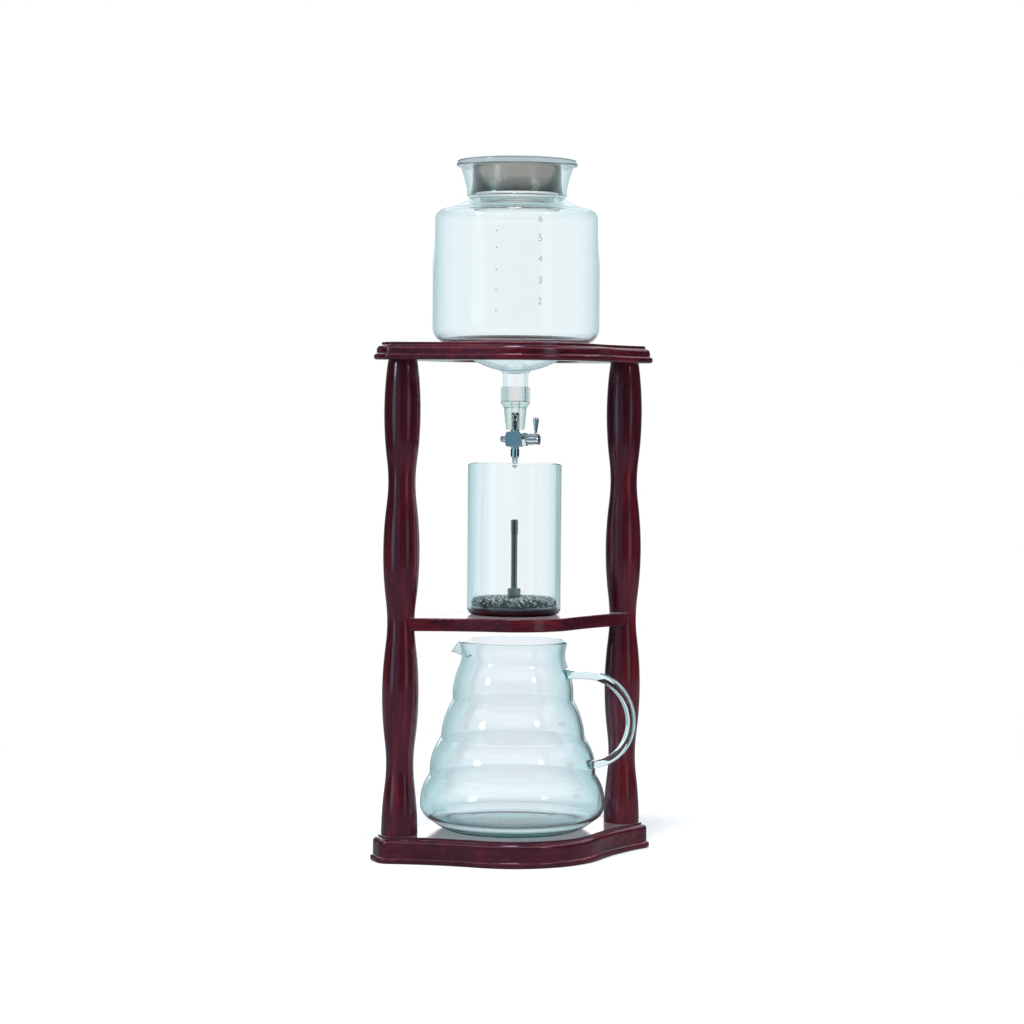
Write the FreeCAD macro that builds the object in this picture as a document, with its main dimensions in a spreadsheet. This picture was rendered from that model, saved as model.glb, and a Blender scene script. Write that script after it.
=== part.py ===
import FreeCAD, Part
import math
import os
import re

import Sketcher

# Cold drip coffee tower.  Millimetres, +Z up, front towards -Y.  The origin lies on the axis of
# the glassware, on the surface that the tower stands on.  Two turned columns carry three boards:
# the top one holds the water tank with its drip valve, the shelf holds the dripper with the
# coffee, and the carafe stands on the base.

# Driving dimensions: alias, value, what it sizes.
SIZES = [
    # wooden stand
    ("base_height", 18.9, "height of the base board"),
    ("column_height", 346.4, "clear height between base board and top board"),
    ("top_height", 12.9, "height of the top board"),
    ("shelf_height", 9.5, "thickness of the shelf"),
    ("column_spacing", 178.4, "distance between the two column axes"),
    ("board_disc_r", 71.2, "round middle of base and top board"),
    ("board_half_width", 109.4, "middle to end of base and top board"),
    ("board_flank_r", 200.0, "hollow flanks between the round middle and the ends"),
    ("board_corner_r", 12.0, "rounded corners of the board ends"),
    ("board_end_flat", 8.4, "straight part of each board end"),
    ("bead_height", 4.8, "bead along the lower edge of a board"),
    ("bead_reach", 2.0, "how far the bead stands out from the face above it"),
    ("bead_round", 1.9, "rounding of the bead"),
    ("base_step_height", 1.5, "thin step along the base board's upper edge"),
    ("base_step_set", 3.8, "how far that step lies inside the face"),
    ("base_round", 3.4, "quarter round under the base board's step"),
    ("top_step_height", 2.0, "thin step along the top board's upper edge"),
    ("top_step_set", 3.6, "how far that step lies inside the face"),
    ("top_round", 3.4, "quarter round under the top board's step"),
    ("step_round", 0.6, "rounding of the thin steps"),
    ("column_bulge_r", 13.35, "column radius at a bulge"),
    ("column_neck_r", 10.0, "column radius at a neck"),
    ("column_neck_arc", 122.0, "radius of the hollow arc at a neck"),
    ("column_top_run", 37.9, "highest bulge to the underside of the top board"),
    ("housing_offset", 1.85, "floor of the shelf housing, inwards from the column axis"),
    ("shelf_disc_r", 50.8, "round middle of the shelf"),
    ("shelf_flank_r", 180.0, "hollow flanks of the shelf"),
    ("shelf_end_depth", 26.0, "depth of the shelf where it enters the columns"),
    ("shelf_round", 1.0, "eased edges of the shelf"),
    ("screw_shank_r", 2.0, "wood screw under each column"),
    ("screw_length", 42.0, "length of that screw"),
    ("screw_head_r", 4.2, "its countersunk head"),
    ("screw_recess", 2.0, "depth of the head below the underside of the base"),
    ("screw_slot", 1.2, "width of the driver slot"),
    ("dowel_r", 4.0, "dowel on top of each column"),
    ("dowel_length", 18.0, "length of that dowel"),
    ("dowel_rise", 8.0, "how far the dowel reaches into the top board"),
    ("glue_gap", 0.05, "gap round dowels, screws and gripped glass"),
    ("lift_gap", 0.3, "gap round what lifts out or off"),
    # water tank
    ("tank_r", 62.0, "outer radius of the tank"),
    ("tank_wall", 2.0, "glass thickness of the tank"),
    ("tank_straight", 92.5, "seat to the top of the straight wall"),
    ("tank_foot_corner", 12.0, "rounding at the foot of the tank"),
    ("tank_dome_r", 47.0, "radius where the domed bottom leaves the seat"),
    ("tank_dome_arc", 63.6, "radius of the domed bottom"),
    ("tank_outlet_r", 9.4, "outer radius of the outlet tube"),
    ("tank_outlet_fillet", 4.0, "rounding between dome and outlet tube"),
    ("tank_outlet_drop", 42.7, "seat to the end of the outlet tube"),
    ("tank_shoulder_corner", 8.0, "rounding between wall and shoulder"),
    ("tank_shoulder_slope", 24.5, "slope of the shoulder in degrees"),
    ("tank_mouth_r", 38.3, "outer radius of the mouth where it is narrowest"),
    ("tank_mouth_fillet", 4.0, "rounding between shoulder and mouth"),
    ("tank_mouth_straight", 4.0, "straight part of the mouth"),
    ("tank_flare_height", 16.2, "height of the flared mouth"),
    ("tank_flare_reach", 3.6, "how far the flare opens"),
    # lid
    ("lid_disc_r", 45.3, "radius of the lid's flange"),
    ("lid_disc_height", 4.6, "thickness of the flange"),
    ("lid_disc_round", 1.9, "rounding of the flange"),
    ("lid_plug_r", 33.8, "radius of the plug under the flange"),
    ("lid_plug_depth", 20.4, "how deep the plug hangs in the mouth"),
    ("lid_plug_wall", 2.4, "wall of the hollow plug"),
    ("lid_seal_height", 8.6, "height of the sealing ring"),
    ("lid_seal_r", 32.4, "outer radius of the ring below its lip"),
    ("lid_seal_inner_r", 28.5, "inner radius of the ring"),
    ("lid_lip_height", 3.4, "height of the lip that touches the glass"),
    ("lid_lip_gap", 0.1, "running gap between lip and glass"),
    # outlet connector
    ("sleeve_r", 10.9, "outer radius of the connector round the outlet tube"),
    ("sleeve_grip", 11.0, "how far the connector covers the outlet tube"),
    ("sleeve_floor", 1.2, "connector wall under the end of the glass"),
    ("sleeve_chamfer", 3.2, "slope under the wide part of the connector"),
    ("sleeve_neck_r", 8.4, "connector radius under that slope"),
    ("sleeve_end_r", 7.0, "connector radius at its lower end"),
    ("sleeve_taper_height", 16.4, "height of the tapered lower part"),
    # drip valve
    ("valve_turn", -37.5, "direction of the valve's spindle, degrees from +X"),
    ("valve_width", 12.4, "valve block along the spindle"),
    ("valve_depth", 11.0, "valve block across the spindle"),
    ("valve_height", 11.4, "height of the valve block"),
    ("valve_chamfer", 2.3, "cut corners of the valve block"),
    ("valve_gap", 1.4, "block to the end of the connector"),
    ("inlet_r", 3.25, "outer radius of the inlet tube"),
    ("inlet_insert", 13.0, "how far the inlet tube reaches into the connector"),
    ("inlet_bore_r", 1.6, "bore for the water"),
    ("thread_depth", 1.6, "how far the tubes reach into the block"),
    ("outlet_r", 3.25, "upper outlet tube"),
    ("outlet_length", 7.6, "length of the upper outlet tube"),
    ("nozzle_r", 2.2, "lower outlet tube"),
    ("nozzle_length", 9.0, "length of the lower outlet tube"),
    ("nozzle_tip_r", 1.7, "radius at the very tip"),
    ("plug_r", 2.4, "turning plug in the block"),
    ("plug_gap", 0.05, "running gap round the plug"),
    ("plug_thread_r", 1.5, "reduced end of the plug"),
    ("end_nut_r", 2.45, "nut on the far end of the plug"),
    ("end_nut_length", 4.2, "length of that nut"),
    ("gland_key", 10.0, "gland nut across its flats"),
    ("gland_length", 2.8, "length of the gland nut"),
    ("gland_collar_r", 3.3, "collar of the gland nut"),
    ("gland_collar_length", 1.8, "length of that collar"),
    ("packing_r", 3.4, "packing ring round the plug"),
    ("packing_length", 2.0, "length of the packing ring"),
    ("hub_r", 4.3, "grip hub on the spindle"),
    ("hub_length", 7.6, "length of the hub"),
    ("hub_flute_r", 0.45, "grooves round the hub"),
    ("hub_flutes", 16, "number of grooves"),
    ("hub_grip", 4.4, "length of the grooved part"),
    ("lever_place", 2.6, "lever to the outer end of the hub"),
    ("lever_foot_r", 1.15, "lever radius at the hub"),
    ("lever_tip_r", 2.3, "lever radius near its tip"),
    ("lever_length", 12.2, "hub surface to the tip of the lever"),
    ("lever_pin_depth", 2.0, "how far the lever is set into the hub"),
    ("over_cut", 1.0, "how far through holes run past the block"),
    # dripper
    ("dripper_r", 34.8, "outer radius of the dripper"),
    ("dripper_wall", 2.0, "glass thickness of the dripper"),
    ("dripper_height", 112.5, "shelf to the rim"),
    ("dripper_corner", 5.0, "rounding at the foot"),
    ("dripper_floor", 2.2, "thickness of the bottom"),
    ("drip_lip_r", 9.0, "outer radius of the drip lip under the bottom"),
    ("drip_lip_wall", 1.8, "wall of the drip lip"),
    ("drip_lip_drop", 6.0, "how far the lip hangs into the shelf"),
    # filter
    ("filter_edge_gap", 0.4, "filter seal to the glass"),
    ("seal_height", 3.6, "height of the filter seal"),
    ("seal_band", 8.0, "width of the filter seal"),
    ("plate_height", 1.0, "thickness of the filter's plate"),
    ("plate_inset", 1.0, "plate edge inside the seal edge"),
    ("plate_rim", 3.0, "solid rim of the plate"),
    ("plate_hub_r", 6.5, "solid middle of the plate"),
    ("plate_spoke", 3.0, "width of the spokes"),
    ("plate_spokes", 6, "number of spokes"),
    ("mesh_height", 6.0, "height of the mesh cap"),
    ("mesh_skin", 0.7, "thickness of the mesh"),
    ("mesh_round", 3.0, "rounded edge of the mesh cap"),
    ("post_r", 2.4, "lifting post of the filter"),
    ("post_top", 67.6, "dripper floor to the top of the post"),
    ("post_cap_r", 2.75, "thicker upper end of the post"),
    ("post_cap_length", 11.0, "length of that end"),
    ("post_head_r", 4.5, "head of the post under the plate"),
    ("post_head_height", 1.6, "height of that head"),
    ("nut_key", 9.4, "filter nut across its flats"),
    ("nut_height", 6.6, "height of the filter nut"),
    ("nut_turn", 15.0, "direction of a corner of that nut, degrees from +X"),
    # carafe
    ("carafe_height", 139.0, "base board to the rim of the carafe"),
    ("carafe_headroom", 10.1, "rim of the carafe to the shelf"),
    ("carafe_wall", 2.0, "glass thickness of the carafe"),
    ("carafe_floor", 3.0, "thickness of the carafe's bottom"),
    ("carafe_floor_edge", 4.0, "height of the cavity's floor over the foot ring"),
    ("carafe_push_up", 2.5, "raised middle of the bottom"),
    ("carafe_foot_r", 50.0, "outer radius of the ring it stands on"),
    ("carafe_foot_band", 4.0, "width of that ring"),
    ("foot_arc", 40.0, "arc from the ring to the heel"),
    ("carafe_turn", -44.5, "direction of the handle, degrees from +X"),
    ("rim_r", 40.0, "outer radius of the rim"),
    ("throat_r", 38.3, "narrowest place under the rim"),
    ("throat_drop", 9.0, "rim to the narrowest place"),
    ("throat_arc", 51.0, "arc from the throat to the rim"),
    ("neck_bend_out", 2.3, "bend under the throat, outwards from it"),
    ("neck_bend_drop", 10.5, "that bend, below the throat"),
    ("neck_bend_arc", 25.0, "arc from that bend to the throat"),
    ("first_wave_r", 44.9, "first waist, radius"),
    ("first_wave_up", 98.1, "first waist, height"),
    ("first_wave_arc", 50.0, "arc of the swelling above the first waist"),
    ("second_wave_r", 53.3, "second waist, radius"),
    ("second_wave_up", 68.6, "second waist, height"),
    ("second_wave_arc", 58.0, "arc of the swelling above the second waist"),
    ("third_wave_r", 61.5, "third waist, radius"),
    ("third_wave_up", 41.6, "third waist, height"),
    ("third_wave_arc", 40.0, "arc of the swelling above the third waist"),
    ("belly_r", 68.75, "widest radius"),
    ("belly_up", 19.1, "height of the widest place"),
    ("heel_r", 61.5, "radius where the bottom turns in"),
    ("heel_up", 7.3, "height of that turn"),
    ("spout_reach", 50.0, "axis to the tip of the spout"),
    ("spout_tip_up", 129.4, "height of the rim line at the tip of the spout"),
    ("spout_tip_low", 126.8, "height of the spout's underside at its tip"),
    ("spout_tip_half", 3.2, "half width of the spout at its tip"),
    ("spout_root_half", 10.0, "half width of the spout at the throat"),
    ("spout_root_up", 124.0, "height of its underside at the throat"),
    ("spout_root_in", 6.0, "how far inside the throat the spout's form starts"),
    ("spout_wall", 1.6, "glass thickness of the spout"),
    ("handle_thick", 6.0, "handle in the plane of its bow"),
    ("handle_wide", 9.0, "handle across that plane"),
    ("handle_bow", 32.8, "radius of the bow"),
    ("handle_reach", 60.0, "axis to the centre of the bow"),
    ("handle_top", 116.0, "height of the upper arm"),
    ("handle_foot_in", 4.0, "lower end of the bow, inwards from its centre"),
    ("arc_slack", 0.001, "added to a half round's radius, so its arc stays under half a turn"),
]

ALIASES = {alias for alias, number, note in SIZES}
ORIGIN = -1
LEFT, RIGHT = 1, -1

doc = FreeCAD.newDocument("cold_drip_tower")
sheet = doc.addObject("Spreadsheet::Sheet", "Sizes")


def fill_sheet():
    for row, (alias, number, note) in enumerate(SIZES, start=1):
        sheet.set(f"A{row}", note)
        sheet.set(f"B{row}", str(number))
        sheet.setAlias(f"B{row}", alias)
    doc.recompute()


def value(expression):
    """The number that an expression of sheet aliases stands for."""
    return float(sheet.evalExpression(expression))


def bound(expression):
    """The same expression as other objects of the document write it."""
    word = re.compile(r"[A-Za-z_]\w*")
    return word.sub(lambda found: f"Sizes.{found[0]}" if found[0] in ALIASES else found[0],
                    expression)


def new_body(name):
    body = doc.addObject("PartDesign::Body", name)
    body.Label = name
    return body


def place(thing, across="0", deep="0", up="0", turn="0"):
    thing.Placement = FreeCAD.Placement(
        FreeCAD.Vector(value(across), value(deep), value(up)),
        FreeCAD.Rotation(FreeCAD.Vector(0, 0, 1), value(turn)))
    for cell, expression in (("x", across), ("y", deep), ("z", up)):
        if expression != "0":
            thing.setExpression(f"Placement.Base.{cell}", bound(expression))


# ---- sketches ----------------------------------------------------------------------------

def new_sketch(body, name, plane="XZ_Plane", level="0"):
    sketch = body.newObject("Sketcher::SketchObject", name)
    support = [item for item in body.Origin.OriginFeatures if item.Role == plane]
    sketch.AttachmentSupport = [(support[0], "")]
    sketch.MapMode = "FlatFace"
    if level != "0":
        sketch.setExpression("AttachmentOffset.Base.z", bound(level))
    return sketch


def bind(sketch, pairs):
    """Add constraints; each comes with the expression that drives it, or None."""
    first = sketch.ConstraintCount
    sketch.addConstraint([constraint for constraint, expression in pairs])
    for number, (constraint, expression) in enumerate(pairs, start=first):
        if expression:
            sketch.setExpression(f"Constraints[{number}]", bound(expression))


def arc_between(start, end, radius, side):
    """Arc of less than half a turn; side says on which side of the way the centre lies."""
    chord = end - start
    middle = (start + end) * 0.5
    across = FreeCAD.Vector(-chord.y, chord.x, 0).normalize()
    rise = math.sqrt(max(radius ** 2 - (chord.Length / 2) ** 2, 0))
    centre = middle + across * (rise * side)
    angles = [math.atan2(p.y - centre.y, p.x - centre.x) for p in (start, end)]
    if side == RIGHT:
        angles.reverse()
    circle = Part.Circle(centre, FreeCAD.Vector(0, 0, 1), radius)
    return Part.ArcOfCircle(circle, angles[0], angles[1])


def pin(geometry, point, across, up):
    """Constraints that hold a sketch point at two expressions from the origin; -1 is the
    sketch's level axis and -2 its upright one."""
    held = []
    for axis, kind, expression in ((-2, "DistanceX", across), (-1, "DistanceY", up)):
        if expression == "0":
            held.append((Sketcher.Constraint("PointOnObject", geometry, point, axis), None))
        else:
            number = value(expression)
            held.append((Sketcher.Constraint(kind, ORIGIN, 1, geometry, point, number),
                         expression))
    return held


def outline(body, name, corners, plane="XZ_Plane", level="0"):
    """Closed sketch.  A corner is (across, up), or (across, up, radius, side) where an arc
    leads on to the next one."""
    sketch = new_sketch(body, name, plane, level)
    points = [FreeCAD.Vector(value(c[0]), value(c[1]), 0) for c in corners]
    count = len(corners)
    ends = []
    constraints = []
    for number, corner in enumerate(corners):
        start, end = points[number], points[(number + 1) % count]
        if len(corner) == 4:
            radius, side = corner[2:]
            sketch.addGeometry(arc_between(start, end, value(radius), side), False)
            constraints.append(
                (Sketcher.Constraint("Radius", number, value(radius)), radius))
            ends.append((1, 2) if side == LEFT else (2, 1))
        else:
            sketch.addGeometry(Part.LineSegment(start, end), False)
            ends.append((1, 2))
    for number, corner in enumerate(corners):
        after = (number + 1) % count
        constraints.append((Sketcher.Constraint("Coincident", number, ends[number][1],
                                                after, ends[after][0]), None))
        constraints += pin(number, ends[number][0], corner[0], corner[1])
    bind(sketch, constraints)
    return sketch


def circle(body, name, radius, plane="XY_Plane", level="0", across="0", up="0"):
    sketch = new_sketch(body, name, plane, level)
    centre = FreeCAD.Vector(value(across), value(up), 0)
    sketch.addGeometry(Part.Circle(centre, FreeCAD.Vector(0, 0, 1), value(radius)), False)
    bind(sketch, [(Sketcher.Constraint("Radius", 0, value(radius)), radius)]
         + pin(0, 3, across, up))
    return sketch


def polygon(body, name, sides, key, plane="XY_Plane", level="0"):
    """Regular polygon about the origin, given across its flats."""
    sketch = new_sketch(body, name, plane, level)
    reach = value(key) / 2 / math.cos(math.pi / sides)
    points = [FreeCAD.Vector(reach * math.cos(2 * math.pi * k / sides),
                             reach * math.sin(2 * math.pi * k / sides), 0)
              for k in range(sides)]
    rim = Part.Circle(FreeCAD.Vector(), FreeCAD.Vector(0, 0, 1), reach)
    sketch.addGeometry(rim, True)
    constraints = [(Sketcher.Constraint("Coincident", 0, 3, ORIGIN, 1), None),
                   (Sketcher.Constraint("Radius", 0, reach),
                    f"{key} / 2 / cos(180 / {sides})")]
    for k in range(sides):
        sketch.addGeometry(Part.LineSegment(points[k], points[(k + 1) % sides]), False)
    for k in range(sides):
        side, after = k + 1, (k + 1) % sides + 1
        constraints.append((Sketcher.Constraint("Coincident", side, 2, after, 1), None))
        constraints.append((Sketcher.Constraint("PointOnObject", side, 1, 0), None))
        if k:
            constraints.append((Sketcher.Constraint("Equal", 1, side), None))
    constraints.append((Sketcher.Constraint("PointOnObject", 1, 1, -1), None))
    bind(sketch, constraints)
    return sketch


# ---- features ----------------------------------------------------------------------------

def turned(body, sketch, cut=False, axis="V_Axis"):
    kind = "PartDesign::Groove" if cut else "PartDesign::Revolution"
    feature = body.newObject(kind, sketch.Name + "_turned")
    feature.Profile = sketch
    feature.ReferenceAxis = (sketch, [axis])
    feature.Angle = 360
    sketch.Visibility = False
    return feature


def pad(body, sketch, length, middle=False, down=False):
    feature = body.newObject("PartDesign::Pad", sketch.Name + "_pad")
    feature.Profile = sketch
    feature.Length = value(length)
    feature.setExpression("Length", bound(length))
    feature.Midplane = middle
    feature.Reversed = down
    return feature


def pocket(body, sketch, length, middle=False, up=False):
    """Cut against the sketch's normal, or along it when up is set; it has to remove material."""
    doc.recompute()
    before = body.Shape.Volume
    feature = body.newObject("PartDesign::Pocket", sketch.Name + "_pocket")
    feature.Profile = sketch
    feature.Length = value(length)
    feature.setExpression("Length", bound(length))
    feature.Midplane = middle
    feature.Reversed = up
    doc.recompute()
    if body.Shape.Volume >= before:
        raise RuntimeError(f"{feature.Name} removes nothing")
    return feature


def edges_at(shape, height, least_r=0.0, slack=1e-4):
    """Names of the edges that lie in a level plane, no nearer to the axis than least_r."""
    names = []
    for number, edge in enumerate(shape.Edges, start=1):
        box = edge.BoundBox
        reach = max(math.hypot(v.X, v.Y) for v in edge.Vertexes)
        if abs(box.ZMin - height) < slack and abs(box.ZMax - height) < slack \
                and reach > least_r:
            names.append(f"Edge{number}")
    return names


def rounded(body, base, heights, radius, least_r="0"):
    """Fillet along all level edges of a body at the given heights above its own origin."""
    doc.recompute()
    names = []
    for height in heights:
        names += edges_at(base.Shape, value(height), value(least_r))
    feature = body.newObject("PartDesign::Fillet", base.Name + "_round")
    feature.Base = (base, names)
    feature.Radius = value(radius)
    feature.setExpression("Radius", bound(radius))
    return feature


def around(body, feature, count):
    pattern = body.newObject("PartDesign::PolarPattern", feature.Name + "_around")
    pattern.Originals = [feature]
    pattern.Axis = (feature.Profile[0], ["N_Axis"])
    pattern.Angle = 360
    pattern.Occurrences = int(value(count))
    pattern.setExpression("Occurrences", bound(count))
    body.Tip = pattern
    return pattern


# ---- wooden stand ------------------------------------------------------------------------

SHELF_UNDER = "(base_height + carafe_height + carafe_headroom)"
SHELF_TOP = f"({SHELF_UNDER} + shelf_height)"
TOP_UNDER = "(base_height + column_height)"
TOP_TOP = f"({TOP_UNDER} + top_height)"


def circles_meet(first, first_r, second, second_r, side):
    """Where two circles cross, on the given side of the line between their centres."""
    gap = second - first
    along = (gap.Length ** 2 + first_r ** 2 - second_r ** 2) / (2 * gap.Length)
    height = math.sqrt(first_r ** 2 - along ** 2)
    way = FreeCAD.Vector(gap).normalize()
    return first + way * along + FreeCAD.Vector(-way.y, way.x, 0) * (height * side)


def board_plan(body, name, inset, level):
    """Outline of base and top board: a round middle that runs out through four hollow flanks
    into two ends with rounded corners, all moved inwards by inset."""
    sketch = new_sketch(body, name, "XY_Plane", level)
    disc_r = f"board_disc_r - ({inset})"
    flank_r = f"board_flank_r + ({inset})"
    corner_r = f"board_corner_r - ({inset})"
    half = f"board_half_width - ({inset})"
    corner_up = value("board_end_flat") / 2
    corner_across = value("board_half_width") - value("board_corner_r")
    radii = {"disc": value(disc_r), "flank": value(flank_r), "corner": value(corner_r)}
    normal = FreeCAD.Vector(0, 0, 1)
    origin = FreeCAD.Vector()

    corners = {}
    flanks = {}
    for x in (1, -1):
        for y in (1, -1):
            corners[x, y] = FreeCAD.Vector(x * corner_across, y * corner_up, 0)
            flanks[x, y] = circles_meet(origin, radii["disc"] + radii["flank"], corners[x, y],
                                        radii["flank"] + radii["corner"], x * y)

    def touch(centre, other, radius):
        return centre + (other - centre).normalize() * radius

    def angle(centre, spot):
        return math.atan2(spot.y - centre.y, spot.x - centre.x)

    def arc(centre, kind, start, end):
        round_line = Part.Circle(centre, normal, radii[kind])
        sketch.addGeometry(Part.ArcOfCircle(round_line, angle(centre, start),
                                            angle(centre, end)), False)

    on_disc = {key: touch(origin, flanks[key], radii["disc"]) for key in flanks}
    on_corner = {key: touch(corners[key], flanks[key], radii["corner"]) for key in flanks}
    end_up = {key: corners[key] + FreeCAD.Vector(key[0] * radii["corner"], 0, 0)
              for key in flanks}
    arc(origin, "disc", on_disc[-1, -1], on_disc[1, -1])
    arc(flanks[1, -1], "flank", on_corner[1, -1], on_disc[1, -1])
    arc(corners[1, -1], "corner", on_corner[1, -1], end_up[1, -1])
    sketch.addGeometry(Part.LineSegment(end_up[1, -1], end_up[1, 1]), False)
    arc(corners[1, 1], "corner", end_up[1, 1], on_corner[1, 1])
    arc(flanks[1, 1], "flank", on_disc[1, 1], on_corner[1, 1])
    arc(origin, "disc", on_disc[1, 1], on_disc[-1, 1])
    arc(flanks[-1, 1], "flank", on_corner[-1, 1], on_disc[-1, 1])
    arc(corners[-1, 1], "corner", on_corner[-1, 1], end_up[-1, 1])
    sketch.addGeometry(Part.LineSegment(end_up[-1, 1], end_up[-1, -1]), False)
    arc(corners[-1, -1], "corner", end_up[-1, -1], on_corner[-1, -1])
    arc(flanks[-1, -1], "flank", on_disc[-1, -1], on_corner[-1, -1])

    joints = [(0, 2, 1, 2), (1, 1, 2, 1), (2, 2, 3, 1), (3, 2, 4, 1), (4, 2, 5, 2), (5, 1, 6, 1),
              (6, 2, 7, 2), (7, 1, 8, 1), (8, 2, 9, 1), (9, 2, 10, 1), (10, 2, 11, 2),
              (11, 1, 0, 1)]
    constraints = [(Sketcher.Constraint("Tangent", *joint), None) for joint in joints]
    constraints += [(Sketcher.Constraint("Coincident", arc_number, 3, ORIGIN, 1), None)
                    for arc_number in (0, 6)]
    for first, others, radius in ((0, (6,), disc_r), (1, (5, 7, 11), flank_r),
                                  (2, (4, 8, 10), corner_r)):
        constraints.append((Sketcher.Constraint("Radius", first, value(radius)), radius))
        constraints += [(Sketcher.Constraint("Equal", first, other), None) for other in others]
    for line, side in ((3, 1), (9, -1)):
        across = f"{side} * ({half})"
        constraints.append((Sketcher.Constraint("Vertical", line), None))
        constraints.append((Sketcher.Constraint("DistanceX", ORIGIN, 1, line, 1,
                                                value(across)), across))
    for corner, side in ((2, -1), (4, 1), (8, 1), (10, -1)):
        up = f"{side} * board_end_flat / 2"
        constraints.append((Sketcher.Constraint("DistanceY", ORIGIN, 1, corner, 3,
                                                value(up)), up))
    bind(sketch, constraints)
    return sketch


def moulded_board(name, height, step_height, step_set, quarter_round):
    """Board with the mouldings that run round its edge: bead, face with a quarter round, and
    a thin step."""
    body = new_body(name)
    face_top = f"{height} - {step_height}"
    bead = pad(body, board_plan(body, name + "_bead", "0", "0"), "bead_height")
    rounded(body, bead, ["0", "bead_height"], "bead_round", "board_end_flat")
    face = pad(body, board_plan(body, name + "_face", "bead_reach", "0"), face_top)
    rounded(body, face, [face_top], quarter_round)
    step_inset = f"bead_reach + {step_set}"
    step = pad(body, board_plan(body, name + "_step", step_inset, "0"), height)
    rounded(body, step, [height], "step_round")
    return body


def make_base():
    body = moulded_board("base_board", "base_height", "base_step_height", "base_step_set",
                         "base_round")
    head_up = "screw_recess"
    cone_up = "(screw_recess + screw_head_r - screw_shank_r)"
    corners = [
        ("0", "0"), ("screw_head_r + glue_gap", "0"), ("screw_head_r + glue_gap", head_up),
        ("screw_shank_r + glue_gap", cone_up), ("screw_shank_r + glue_gap", "base_height"),
        ("0", "base_height")]
    for side in (1, -1):
        shift = f"{side} * column_spacing / 2"
        moved = [(f"{shift} + ({across})", up) for across, up in corners]
        sketch = outline(body, "screw_hole_right" if side > 0 else "screw_hole_left", moved)
        axis = sketch.addGeometry(Part.LineSegment(
            FreeCAD.Vector(value(shift), 0, 0),
            FreeCAD.Vector(value(shift), value("base_height"), 0)), True)
        bind(sketch, pin(axis, 1, shift, "0") + pin(axis, 2, shift, "base_height"))
        turned(body, sketch, cut=True, axis="Axis0")
    return body


def make_top():
    body = moulded_board("top_board", "top_height", "top_step_height", "top_step_set",
                         "top_round")
    hole = circle(body, "tank_hole", "tank_dome_r + lift_gap", level="top_height")
    pocket(body, hole, "top_height")
    for side, name in ((1, "dowel_hole_right"), (-1, "dowel_hole_left")):
        dowel = circle(body, name, "dowel_r + glue_gap", across=f"{side} * column_spacing / 2")
        pocket(body, dowel, "dowel_rise + glue_gap", up=True)
    place(body, up=TOP_UNDER)
    return body


def shelf_corners():
    """Outline of the shelf: a round middle and four hollow flanks to its two square ends."""
    end = "(column_spacing / 2 - housing_offset)"
    depth = "(shelf_end_depth / 2)"
    reach = f"sqrt({end}^2 + {depth}^2)"
    both = "(shelf_disc_r + shelf_flank_r)"
    turn = (f"(atan({depth} / {end})"
            f" + acos(({both}^2 + {reach}^2 - shelf_flank_r^2) / (2 * {both} * {reach})))")
    across = f"shelf_disc_r * cos({turn})"
    deep = f"shelf_disc_r * sin({turn})"
    return [
        (f"-({across})", f"-({deep})", "shelf_disc_r", LEFT),
        (f"{across}", f"-({deep})", "shelf_flank_r", RIGHT),
        (end, f"-{depth}"),
        (end, depth, "shelf_flank_r", RIGHT),
        (f"{across}", f"{deep}", "shelf_disc_r", LEFT),
        (f"-({across})", f"{deep}", "shelf_flank_r", RIGHT),
        (f"-{end}", depth),
        (f"-{end}", f"-{depth}", "shelf_flank_r", RIGHT)]


def make_shelf():
    body = new_body("shelf_board")
    slab = pad(body, outline(body, "shelf_plan", shelf_corners(), "XY_Plane"), "shelf_height")
    doc.recompute()
    long_edges = [f"Edge{number}" for number, edge in enumerate(slab.Shape.Edges, start=1)
                  if edge.BoundBox.ZLength < 1e-6
                  and edge.BoundBox.XLength > value("shelf_round")]
    eased = body.newObject("PartDesign::Fillet", "shelf_eased")
    eased.Base = (slab, long_edges)
    eased.Radius = value("shelf_round")
    eased.setExpression("Radius", bound("shelf_round"))
    hole = circle(body, "drip_hole", "drip_lip_r + 2 * lift_gap", level="shelf_height")
    pocket(body, hole, "shelf_height")
    place(body, up=SHELF_UNDER)
    return body


def column_corners():
    """Half section of a turned column: bulges and necks as tangent arcs."""
    pitch = "((column_height - column_top_run) / 3)"
    swell = "(column_bulge_r - column_neck_r)"
    arcs = f"((({pitch} / 2)^2 + {swell}^2) / (2 * {swell}))"
    bulge_arc = f"({arcs} - column_neck_arc)"
    near_neck = f"({pitch} / 2 * column_neck_arc / {arcs})"
    near_neck_r = f"(column_neck_r + {swell} * column_neck_arc / {arcs})"
    corners = [("0", "0"), ("column_bulge_r", "0", bulge_arc, LEFT)]
    for wave in (0, 1, 2):
        neck_up = f"({pitch} * {wave + 0.5})"
        corners.append((near_neck_r, f"{neck_up} - {near_neck}", "column_neck_arc", RIGHT))
        corners.append((near_neck_r, f"{neck_up} + {near_neck}", bulge_arc, LEFT))
    top_r = f"(column_bulge_r - {bulge_arc} + sqrt({bulge_arc}^2 - column_top_run^2))"
    corners += [(top_r, "column_height"), ("0", "column_height")]
    return corners


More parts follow.
